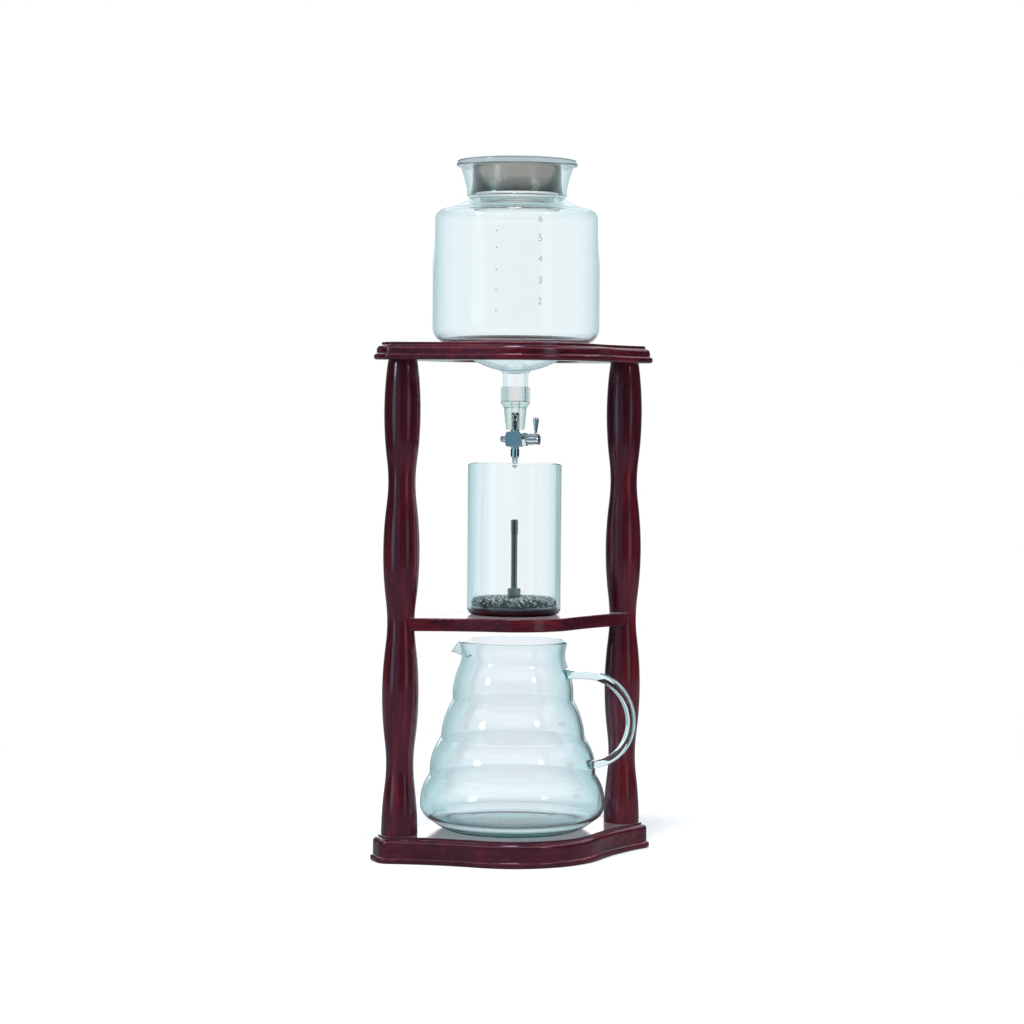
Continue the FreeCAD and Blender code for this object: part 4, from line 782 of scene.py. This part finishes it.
def carafeSkin(depth):
    heel, belly = carafe["heel"], carafe["belly"]
    ends = [belly, *carafe["waists"], carafe["neckBend"]]
    arcs = [swing(belly[0], ends[1][0], ends[1][1] - belly[1]), *carafe["waveArcs"]]
    waves = [(arcCentre(low, high, arc), arc) for low, high, arc in zip(ends, ends[1:], arcs)]
    bend, throat = carafe["neckBend"], carafe["throat"]
    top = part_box("carafe_glass")[1].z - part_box("base_board")[1].z
    line = [
        (heel[0] - depth / 2, heel[1] + depth,
         swing(belly[0], heel[0], belly[1] - heel[1]) - depth),
        (belly[0] - depth, belly[1], arcs[0] - depth)]
    for lower, upper in zip(waves, waves[1:]):
        line += easedWaist(lower, upper, depth)
    line += [
        (bend[0] - depth, bend[1], -(carafe["neckArc"] + depth)),
        (throat[0] - depth, throat[1], -(carafe["throatArc"] + depth)),
        (carafe["rimRadius"] - depth, top - carafe["wall"] / 2)]
    return line


def makeCarafeShell():
    seat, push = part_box("base_board")[1].z, carafe["pushUp"]
    ring = carafe["footRadius"] - carafe["footBand"]
    lift, arcs = carafe["footLift"], carafe["footArcs"]
    outside = [(0, push, -swing(push, 0, ring)), (ring, lift, arcs[0]),
               (carafe["footRadius"], lift, arcs[1]), *carafeSkin(0)]
    outside[-1] += (carafe["wall"] / 2,)
    inside = backwards(carafeSkin(carafe["wall"]))
    inside[-1] = inside[-1][:2] + (-carafe["innerHeel"],)
    inside += [(ring, carafe["floor"] + carafe["innerRise"], carafe["innerFloor"]),
               (0, push + carafe["floor"])]
    return lathe("carafeShell", moved(outside + inside, seat), carafe["steps"], turnPerStep=6)


def pullSpout(piece):
    # the rim is drawn out and down into a beak
    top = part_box("carafe_glass")[1].z
    heading = math.radians(carafe["spoutHeading"])
    way = Vector((math.cos(heading), math.sin(heading), 0))
    across = Vector((-way.y, way.x, 0))
    down, inwards, aside = carafe["spoutGrip"]
    out, fall, size = carafe["spoutPull"]
    tip = max(v.co.dot(way) for v in piece.data.vertices if v.co.z > top - down)
    edited(piece, bpy.ops.transform.translate,
           lambda v: v.co.z > top - down and v.co.dot(way) > tip - inwards
           and abs(v.co.dot(across)) < aside,
           value=way * out + Vector((0, 0, -fall)), use_proportional_edit=True,
           proportional_edit_falloff="LINEAR", proportional_size=size)


handle = {
    "heading": -44.5, "wide": 0.0090, "thick": 0.0060, "bow": 0.0328, "reach": 0.0600,
    "top": 0.1160, "corner": 0.0017, "cornerSteps": 5, "bowSteps": 44,
    "root": 0.0408, "rootLean": -22.0,
    "melt": [    # steps away from the wall, and how much of the lean each one keeps
        (0.0010, 0.8), (0.0010, 0.7), (0.0011, 0.6), (0.0012, 0.5), (0.0013, 0.0),
        (0.0015, 1.0), (0.0020, 1.0)],
    "ends": [0.0050, 0.0035, 0.0022, 0.0013, 0.0006],    # rings before the lower end
    "flares": [(1.10, 1.35), (1.08, 1.20)], "flareSize": 0.0085, "sink": 0.0005,
    "grip": (0.0019, 0.0040),    # along and across, what a flare takes hold of
}


def makeHandle():
    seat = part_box("base_board")[1].z
    topUp = seat + handle["top"]
    bowMiddle = topUp - handle["bow"]
    away = handle["root"]
    deselectAll()
    bpy.ops.mesh.primitive_plane_add(size=1, location=(away, 0, topUp),
                                     rotation=(0, math.radians(90 + handle["rootLean"]), 0))
    piece = named("carafeHandle")
    piece.scale = (handle["thick"], handle["wide"], 1)
    settle(piece)
    editWith(piece)
    bpy.ops.mesh.bevel(offset=handle["corner"], segments=handle["cornerSteps"],
                       affect="VERTICES")
    bpy.ops.mesh.select_all(action="SELECT")
    for step, flatten in handle["melt"]:
        away += step
        bpy.ops.mesh.extrude_region_move(TRANSFORM_OT_translate={"value": (step, 0, 0)})
        bpy.ops.transform.resize(value=(flatten, 1, 1), center_override=(away, 0, topUp))
    bpy.ops.mesh.extrude_region_move(
        TRANSFORM_OT_translate={"value": (handle["reach"] - away, 0, 0)})
    bpy.ops.mesh.spin(steps=handle["bowSteps"], angle=math.pi,
                      center=(handle["reach"], 0, bowMiddle), axis=(0, -1, 0))
    bpy.ops.mesh.extrude_region_move(TRANSFORM_OT_translate={"value": (-handle["sink"], 0, 0)})
    doneEditing()
    lowUp = topUp - 2 * handle["bow"]
    for ring in handle["ends"]:
        edited(piece, bpy.ops.mesh.bisect, plane_co=(handle["reach"] + ring, 0, 0),
               plane_no=(1, 0, 0))
    near, aside = handle["grip"]
    for (x, z, ahead), (wide, high) in zip(
            ((handle["root"], topUp, near), (handle["reach"] - handle["sink"], lowUp, 10 * hair)),
            handle["flares"]):
        edited(piece, bpy.ops.transform.resize,
               lambda v: x - near < v.co.x < x + ahead and abs(v.co.z - z) < aside,
               value=(1, wide, high), center_override=(x, 0, z), use_proportional_edit=True,
               proportional_edit_falloff="SHARP", proportional_size=handle["flareSize"])
    faceOutwards(piece)
    piece.rotation_euler.z = math.radians(handle["heading"])
    return settle(piece)


def makeCarafe():
    piece = makeCarafeShell()
    pullSpout(piece)
    grip = makeHandle()
    finishWith(piece, "BOOLEAN", operation="UNION", solver="EXACT", object=grip)
    bpy.data.objects.remove(grip, do_unlink=True)
    dress(smooth(piece, 32), carafeClear, "carafe", "glass", "carafe_glass", "carafe_handle")


makeCarafe()
print("carafe made")


# clear flange, hollow smoke-grey plug and soft sealing ring
lid = {
    "flangeRound": 0.0011, "underRound": 0.0023,
    "dish": 0.0007, "dishSteps": (0.0026, 0.0046, 0.0064), "dishArcs": (0.0024, 0.0020),
    "plugWall": 0.0024, "plugRound": 0.0008, "plugShort": 0.0004,
    "plugWaist": 0.0330, "plugFoot": 0.0345, "waistUp": 0.0112,
    "sealInner": 0.0285, "sealOuter": 0.0324, "sealRound": 0.0006,
    "lipOuter": 0.0362, "lipDrop": 0.0034, "lipFlare": (0.0018, 0.0016), "lipTop": 0.0060,
    "lipRound": 0.0007, "lipEdge": (0.0001, 0.0008),
    "steps": 112,
}


def makeLid():
    low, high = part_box("lid_disc")
    radius, edge, under = high.x, lid["flangeRound"], lid["underRound"]
    outer, middle, inner = (radius - step for step in lid["dishSteps"])
    dished = high.z - lid["dish"]
    flange = lathe("lidFlange", [
        (0, low.z), (radius - under, low.z, under), (radius, low.z + under),
        (radius, high.z - edge, edge), (radius - edge, high.z),
        (outer, high.z, lid["dishArcs"][0]), (middle, dished, -lid["dishArcs"][1]),
        (inner, dished), (0, dished)], lid["steps"])
    dress(smooth(flange, 40), lidClear, "lid", "clear_lid", "lid_disc")

    low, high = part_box("lid_plug")
    radius, foot, wall, edge = lid["plugWaist"], lid["plugFoot"], lid["plugWall"], lid["plugRound"]
    waistUp, rise = low.z + lid["waistUp"], lid["waistUp"] - edge
    top = high.z - lid["plugShort"]
    plug = lathe("lidPlug", [
        (0, low.z), (foot - edge, low.z, edge),
        (foot, low.z + edge, -swing(foot, radius, rise)),
        (radius, waistUp), (radius, top), (radius - wall, top),
        (radius - wall, low.z + wall + edge, -edge), (radius - wall - edge, low.z + wall),
        (0, low.z + wall)], lid["steps"])
    dress(smooth(plug, 40), smoke, "lid", "smoke_lid", "lid_plug")

    low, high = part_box("lid_seal")
    inner, outer, lip = lid["sealInner"], lid["sealOuter"], lid["lipOuter"]
    edge, lipLow = lid["sealRound"], high.z - lid["lipDrop"]
    (drop, spread), (inwards, upwards) = lid["lipFlare"], lid["lipEdge"]
    seal = lathe("lidSeal", [
        (inner, low.z), (outer - edge, low.z, edge), (outer, low.z + edge),
        (outer, lipLow - drop, -spread), (lip - edge, lipLow, lid["lipRound"]),
        (lip - inwards, lipLow + upwards, lid["lipTop"]), (outer + spread, high.z),
        (inner, high.z)], lid["steps"])
    dress(smooth(seal, 40), sealSilicone, "lid", "milky_silicone", "lid_seal")


makeLid()
print("lid made")


# soft sleeve between the outlet tube and the valve
sleeve = {"edge": 0.0006, "neckRadius": 0.0084, "endRadius": 0.0070, "taper": 0.0164,
          "slope": 0.0032, "shoulderArc": 0.0014, "bore": 0.0033, "grip": 0.00945,
          "floor": 0.0012, "tight": 0.00005, "neckRise": 0.0004, "steps": 72}


def makeSleeve():
    low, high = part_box("outlet_connector")
    wide, edge = high.x, sleeve["edge"]
    wideUp = low.z + sleeve["taper"] + sleeve["slope"]
    seat = wideUp + sleeve["floor"] - sleeve["tight"]
    neck, taperUp, arc = sleeve["neckRadius"], low.z + sleeve["taper"], sleeve["shoulderArc"]
    piece = lathe("outletSleeve", [
        (sleeve["bore"], low.z), (sleeve["endRadius"] - edge, low.z, edge),
        (sleeve["endRadius"], low.z + edge),
        (neck, taperUp - edge, -arc), (neck + edge, taperUp + sleeve["neckRise"]),
        (wide - edge, wideUp - edge, arc), (wide, wideUp + edge),
        (wide, high.z - edge, edge), (wide - edge, high.z), (sleeve["grip"], high.z),
        (sleeve["grip"], seat), (sleeve["bore"], seat)], sleeve["steps"])
    dress(smooth(piece, 40), silicone, "tank", "milky_silicone", "outlet_connector")


makeSleeve()
print("sleeve made")


# drip valve: block, tubes, gland nut, turning plug and its lever
valve = {
    "turn": -37.5, "up": 0.3076,
    "blockSize": (0.0124, 0.0110, 0.0114), "blockCorner": 0.0023, "blockEase": 0.00022,
    "tube": 0.00325,
    "socket": (0.0003, 0.0016),    # wider than the tube, and twice as deep as it reaches in
    # turned outlines: radius, height and, where a curve starts, its own radius; heights count
    # from the nozzle's tip, the block's faces, the inlet's top, the hub or the valve's middle
    "nozzleTip": [(0.0008, 0.0001), (0.0011, 0.0001, 0.0020), (0.002156, 0.0021, 0.0020),
                  (0.0015, 0.0034), (0.0015, 0.0042), (0.0020, 0.0043), (0.0022, 0.0046)],
    "nozzleStep": [(0.0022, -0.0135), (0.0025, -0.0133), (0.00295, -0.0133),
                   (0.00325, -0.0129)],
    "nozzleTop": [(0.00325, -0.0014), (0.00285, -0.0011), (0.00285, -0.0008),
                  (0.00325, -0.0005), (0.00325, 0.0006), (0.0008, 0.0006)],
    "inletFoot": [(0.0016, -0.0006), (0.00325, -0.0006), (0.00325, 0.0016), (0.00275, 0.0020)],
    "inletTop": [(0.00275, -0.0062), (0.00325, -0.0056), (0.00275, -0.0030),
                 (0.00275, -0.0026), (0.00325, -0.0020), (0.00245, 0), (0.0016, 0)],
    "collar": [(0.0026, 0.00905), (0.0029, 0.00905), (0.0029, 0.00975), (0.0033, 0.00995),
               (0.0033, 0.01055), (0.0030, 0.01085), (0.0026, 0.01085)],
    "leverRoot": [(0, -0.0008), (0.00145, -0.0008), (0.00145, 0.0003, -0.0012),
                  (0.00105, 0.0013)],
    "leverTip": [(0.0023, 0.014315, 0.0023), (0.001035, 0.0162, 0.00368), (0, 0.0165)],
    "endNut": [(0.0012, -0.01085), (0.00198, -0.01085), (0.00258, -0.01025),
               (0.00268, -0.00935), (0.00218, -0.00905), (0.00218, -0.00865),
               (0.00268, -0.00835), (0.00268, -0.00625), (0.0012, -0.00625)],
    "leverPlace": 0.0159, "leverSteps": 32, "nutSteps": 36, "steps": 48,
    "glandKey": 0.0100, "glandIn": 0.00625, "glandOut": 0.00905,
    "glandFace": (0.10, 0.0004), "glandEase": 0.00025,    # its step in, as a share, and up
    "hubRadius": 0.0043, "hubIn": 0.0109, "hubOut": 0.0185, "grip": 0.0044, "flutes": 16,
    "fluteDepth": 0.00042, "hubRim": 0.0006, "groove": 0.0005, "grooveShare": 0.90,
    "hubDishes": [(0.0008, 0.0005), (0.0013, 0.0002)],    # how far in and down
    "hubEase": 0.00012,
}


def mount(piece, body, node, lying=True, metal=chromed):
    # made about the origin, with the spindle along Z, or along X when it isn't lying
    piece.rotation_euler = (0, math.radians(90 if lying else 0), math.radians(valve["turn"]))
    piece.location.z = valve["up"]
    dress(settle(piece), metal, body, "chrome", node)


def eased(piece, width):
    smooth(piece)
    finishWith(piece, "BEVEL", width=width, segments=2, limit_method="ANGLE",
               angle_limit=math.radians(30), harden_normals=True)


def spanAlongY(piece, edge):
    ends = [piece.data.vertices[number].co.y for number in edge.vertices]
    return abs(ends[0] - ends[1])


def makeBlock():
    long, deep, high = valve["blockSize"]
    deselectAll()
    bpy.ops.mesh.primitive_cube_add(size=1)
    piece = named("valveBlock")
    piece.scale = (long, deep, high)
    settle(piece)
    edited(piece, bpy.ops.mesh.bevel, lambda edge: spanAlongY(piece, edge) > 10 * hair, "EDGE",
           offset=valve["blockCorner"], segments=3, profile=0.5)
    wider, depth = valve["socket"]
    for up in (high / 2, -high / 2):
        bpy.ops.mesh.primitive_cylinder_add(vertices=valve["steps"], depth=depth,
                                            radius=valve["tube"] + wider, location=(0, 0, up))
        bore = bpy.context.object
        finishWith(piece, "BOOLEAN", operation="DIFFERENCE", solver="EXACT", object=bore)
        bpy.data.objects.remove(bore, do_unlink=True)
    eased(piece, valve["blockEase"])
    mount(piece, "tank", "valve_body", lying=False, metal=satin)


def makeTubes():
    half, steps = valve["blockSize"][2] / 2, valve["steps"]
    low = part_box("drip_nozzle")[0].z - valve["up"]
    nozzle = lathe("dripNozzle", outline(
        valve, ("nozzleTip", low), ("nozzleStep", 0), ("nozzleTop", -half)), steps)
    mount(smooth(nozzle), "tank", "drip_nozzle", lying=False)

    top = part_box("valve_inlet")[1].z - valve["up"]
    inlet = lathe("valveInlet", outline(valve, ("inletFoot", half), ("inletTop", top)), steps)
    mount(smooth(inlet), "tank", "valve_inlet", lying=False)


def cornerRadius(key):
    # of a hexagon with that size across its flats
    return key / 2 / math.cos(math.radians(30))


def makeGland():
    key, (inwards, up) = cornerRadius(valve["glandKey"]), valve["glandFace"]
    piece = prism("glandNut", 6, key, valve["glandIn"], valve["glandOut"])
    edited(piece, bpy.ops.mesh.inset, lambda f: f.normal.z > facing, "FACE",
           thickness=key * inwards, depth=up)
    eased(piece, valve["glandEase"])
    ring = smooth(lathe("glandCollar", valve["collar"], valve["steps"]))
    mount(joined("glandNut", piece, ring), "tank", "gland_nut")


def makeHub():
    radius = valve["hubRadius"]
    piece = prism("leverHub", valve["flutes"] * 4, radius, valve["hubIn"], valve["hubOut"])
    low, split = valve["hubIn"] + valve["hubRim"], valve["hubIn"] + valve["grip"]
    groove = valve["groove"]
    for level in (split, split + groove, low):
        edited(piece, bpy.ops.mesh.bisect, plane_co=(0, 0, level), plane_no=(0, 0, 1))
    wedge = 2 * math.pi / valve["flutes"]
    editWith(piece, lambda f: abs(f.normal.z) < 0.1 and low < f.center.z < split
             and (math.atan2(f.center.y, f.center.x) % wedge) < wedge / 2, "FACE")
    bpy.ops.mesh.extrude_region_move()
    bpy.ops.transform.shrink_fatten(value=-valve["fluteDepth"])
    doneEditing()
    share = valve["grooveShare"]
    edited(piece, bpy.ops.transform.resize,
           lambda v: split - hair < v.co.z < split + groove + hair
           and math.hypot(v.co.x, v.co.y) > radius - 10 * hair,
           value=(share, share, 1), center_override=(0, 0, split))
    editWith(piece, lambda f: f.normal.z > facing and f.center.z > valve["hubOut"] - 10 * hair,
             "FACE")
    for inwards, down in valve["hubDishes"]:
        bpy.ops.mesh.inset(thickness=inwards, depth=down)
    doneEditing()
    eased(piece, valve["hubEase"])
    mount(piece, "valve_lever", "lever_hub")


def makeLever():
    piece = lathe("leverHandle", outline(
        valve, ("leverRoot", valve["hubRadius"]), ("leverTip", 0)), valve["leverSteps"])
    smooth(piece, 50)
    piece.location.x = valve["leverPlace"]
    mount(settle(piece), "valve_lever", "lever_handle", lying=False)


def makeEndNut():
    piece = lathe("plugEndNut", valve["endNut"], valve["nutSteps"])
    mount(smooth(piece), "valve_lever", "plug_end_nut")


makeBlock()
makeTubes()
makeGland()
makeHub()
makeLever()
makeEndNut()
print("valve made")


# wire cloth drawn over the plate, gasket, post and nut
filterSet = {
    "pitch": 0.0019, "wire": 0.00036, "weave": 0.00036, "bend": 0.0030, "clear": 0.0036,
    "turn": 20.0, "skinGap": 0.0007, "skin": 0.0004, "skinHole": 0.0026,
    # turned outlines, as those of the valve; the gasket's radii count from its rim, and heights
    # from the lowest point, the plate or the top
    "gasketFoot": [(-0.0080, 0), (-0.0036, 0, 0.0036), (-0.0001, 0.0032)],
    "gasketTop": [(-0.0003, -0.00066, 0.0011), (-0.0014, 0), (-0.0080, 0)],
    "postHead": [(0, 0), (0.0042, 0), (0.0045, 0.0003)],
    "postSeat": [(0.0045, -0.0001), (0.0024, -0.0001)],
    "postCap": [(0.0024, -0.0110), (0.00245, -0.0110), (0.00275, -0.0106), (0.00275, -0.0005),
                (0.00225, 0), (0.0011, 0), (0.0009, -0.0006), (0, -0.0006)],
    "gasketSteps": 112, "steps": 40,
    "nutKey": 0.0094, "nutTurn": 45.0, "nutFace": 0.11, "nutFall": 0.0007, "nutEase": 0.0002,
}


def drapeOver(flat, radius, top, low, bend):
    # where a point of flat cloth, at that distance from the middle, lies on the cap
    edge = radius - bend
    if flat <= edge:
        return flat, top
    turn = (flat - edge) / bend
    if turn < math.pi / 2:
        return edge + bend * math.sin(turn), top - bend + bend * math.cos(turn)
    return radius, max(low, top - bend - (flat - edge - bend * math.pi / 2))


def makeWires():
    low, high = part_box("filter_mesh")
    wire, bend, pitch = filterSet["wire"], filterSet["bend"], filterSet["pitch"]
    radius, clear = high.x - wire, filterSet["clear"]
    top, bottom = high.z - 2 * wire, low.z + wire
    reach = radius - bend + bend * math.pi / 2 + (top - bend - bottom)
    half = round(reach / pitch)
    families = []
    for name, turn in (("warpWires", 0), ("weftWires", 90)):
        deselectAll()
        bpy.ops.mesh.primitive_grid_add(x_subdivisions=4 * half, y_subdivisions=2 * half,
                                        size=1)
        piece = named(name)
        piece.scale = (2 * half * pitch, 2 * half * pitch, 1)
        settle(piece)
        edited(piece, bpy.ops.mesh.delete, lambda edge: spanAlongY(piece, edge) > hair, "EDGE",
               type="EDGE_FACE")
        edited(piece, bpy.ops.mesh.delete, lambda v: not clear < v.co.xy.length < reach,
               type="VERT")
        for v in piece.data.vertices:
            across, row = round(2 * v.co.x / pitch), round(v.co.y / pitch - 0.5)
            over = math.cos(math.pi * (across / 2 + row)) * filterSet["weave"]
            flat = v.co.xy.length
            away, up = drapeOver(flat, radius, top, bottom, bend)
            lean = min(1.0, max(0.0, (flat - radius + bend) / (bend * math.pi / 2)))
            outwards = (away + over * math.sin(lean * math.pi / 2)) / flat
            v.co.x *= outwards
            v.co.y *= outwards
            v.co.z = up + over * math.cos(lean * math.pi / 2) * (1 if turn == 0 else -1)
        piece.rotation_euler.z = math.radians(turn)
        settle(piece)
        bpy.ops.object.convert(target="CURVE")
        curve = bpy.context.object
        curve.data.bevel_depth = wire
        curve.data.bevel_resolution = 1
        curve.data.resolution_u = 1
        bpy.ops.object.convert(target="MESH")
        families.append(bpy.context.object)
    piece = joined("filterWires", *families)
    piece.rotation_euler.z = math.radians(filterSet["turn"])
    settle(piece)
    dress(smooth(piece, 80), wireSteel, "filter", "filter_steel")


def makeClothShade():
    # a near-black sheet just under the wires, painted shade for the cloth's depth
    low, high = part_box("filter_mesh")
    wire, bend = filterSet["wire"], filterSet["bend"]
    radius, top = high.x - wire, high.z - 2 * wire
    gap, thick, hole = filterSet["skinGap"] + wire, filterSet["skin"], filterSet["skinHole"]
    skin = lathe("filterClothShade", [
        (hole, top - gap), (radius - bend, top - gap, -(bend - gap)),
        (radius - gap, top - bend), (radius - gap, low.z), (radius - gap - thick, low.z),
        (radius - gap - thick, top - bend, bend - gap - thick),
        (radius - bend, top - gap - thick), (hole, top - gap - thick)])
    dress(smooth(skin, 40), clothShade, "filter", "filter_steel", "filter_mesh")


def makeGasket():
    low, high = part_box("filter_seal")
    piece = lathe("filterGasket", outline(
        filterSet, ("gasketFoot", low.z, high.x), ("gasketTop", high.z, high.x)),
        filterSet["gasketSteps"])
    dress(smooth(piece, 40), gasket, "filter", "black_rubber", "filter_seal")


def makePost():
    low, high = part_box("filter_post")
    post = lathe("filterPost", outline(
        filterSet, ("postHead", low.z), ("postSeat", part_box("filter_plate")[0].z),
        ("postCap", high.z)), filterSet["steps"])
    dress(smooth(post), filterSteel, "filter", "filter_steel", "filter_post")

    low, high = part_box("filter_nut")
    key, fall = cornerRadius(filterSet["nutKey"]), filterSet["nutFall"]
    nearCorner, middle = key * 0.95, (high.z + low.z) / 2
    nut = prism("filterNut", 6, key, low.z, high.z)
    for way in (1, -1):
        edited(nut, bpy.ops.mesh.inset, lambda f: f.normal.z * way > facing, "FACE",
               thickness=key * filterSet["nutFace"], depth=0)
        edited(nut, bpy.ops.transform.translate,
               lambda v: v.co.z * way > middle * way + fall and v.co.xy.length > nearCorner,
               value=(0, 0, -fall * way))
    eased(nut, filterSet["nutEase"])
    nut.rotation_euler.z = math.radians(filterSet["nutTurn"])
    dress(settle(nut), filterSteel, "filter", "filter_steel", "filter_nut")


makeWires()
makeClothShade()
makeGasket()
makePost()
print("filter made")


# printed scales, sizes and heights in metres
prints = {
    "proud": 0.00012, "thick": 0.00003, "capital": 0.72,    # a figure's share of the type size
    "tankFigures": [("6", 0.4670), ("5", 0.4533), ("4", 0.4382), ("3", 0.4227), ("2", 0.4077)],
    "tankAzimuth": -96.5, "tankHeight": 0.0050,
    "dots": [0.4585, 0.4464, 0.4304, 0.4157, 0.4008], "dotAzimuth": -126.0, "dotRadius": 0.0007,
    "carafeFigures": [("700", 0.1002), ("500", 0.0714), ("300", 0.0493)],
    "carafeAzimuth": -68.5, "carafeHeight": 0.0034,
}


def skinAt(line, up):
    # how far out a section is at that height, and how far it leans back there
    for (x0, z0), (x1, z1) in zip(line, line[1:]):
        if min(z0, z1) <= up <= max(z0, z1) and z1 != z0:
            share = (up - z0) / (z1 - z0)
            return x0 + (x1 - x0) * share, math.atan2(x0 - x1, z1 - z0)
    return line[-1][0], 0.0


def placeFigure(word, height, radius, azimuth, up, lean):
    deselectAll()
    turn = math.radians(azimuth)
    bpy.ops.object.text_add(
        radius=height / prints["capital"], rotation=(math.pi / 2 - lean, 0, turn + math.pi / 2),
        location=(radius * math.cos(turn), radius * math.sin(turn), up))
    figure = bpy.context.object
    figure.data.body = word
    figure.data.align_x = "CENTER"
    figure.data.align_y = "CENTER"
    figure.data.extrude = prints["thick"]
    figure.data.resolution_u = 4
    bpy.ops.object.convert(target="MESH")
    return settle(bpy.context.object)


def placeDot(radius, azimuth, up):
    turn = math.radians(azimuth)
    deselectAll()
    bpy.ops.mesh.primitive_circle_add(
        vertices=20, radius=prints["dotRadius"], fill_type="NGON",
        rotation=(math.pi / 2, 0, turn + math.pi / 2),
        location=(radius * math.cos(turn), radius * math.sin(turn), up))
    dot = settle(bpy.context.object)
    editWith(dot)
    bpy.ops.mesh.extrude_region_move()
    bpy.ops.transform.shrink_fatten(value=-prints["thick"])
    doneEditing()
    return dot


def makePrints():
    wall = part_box("tank_glass")[1].x + prints["proud"]
    figures = [placeFigure(word, prints["tankHeight"], wall, prints["tankAzimuth"], up, 0)
               for word, up in prints["tankFigures"]]
    figures += [placeDot(wall, prints["dotAzimuth"], up) for up in prints["dots"]]
    piece = joined("tankScale", *figures)
    dress(piece, printGrey, "tank", "packing")

    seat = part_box("base_board")[1].z
    line = moved(sectionPoints(carafeSkin(0)), seat)
    figures = []
    for word, up in prints["carafeFigures"]:
        out, lean = skinAt(line, up)
        figures.append(placeFigure(word, prints["carafeHeight"], out + 2 * prints["proud"],
                                   prints["carafeAzimuth"], up, lean))
    piece = joined("carafeScale", *figures)
    dress(piece, printPale, "carafe", "packing")


makePrints()
print("scales made")


paint(boardWood, "base_board", "top_board", "shelf_board")
paint(columnWood, "left_column", "right_column")
paint(plainWood, "top_dowels")
paint(zinc, "base_screws")
paint(chromed, "valve_plug")
paint(packing, "gland_packing")
paint(filterSteel, "filter_plate")

scene.view_settings.view_transform = "Standard"
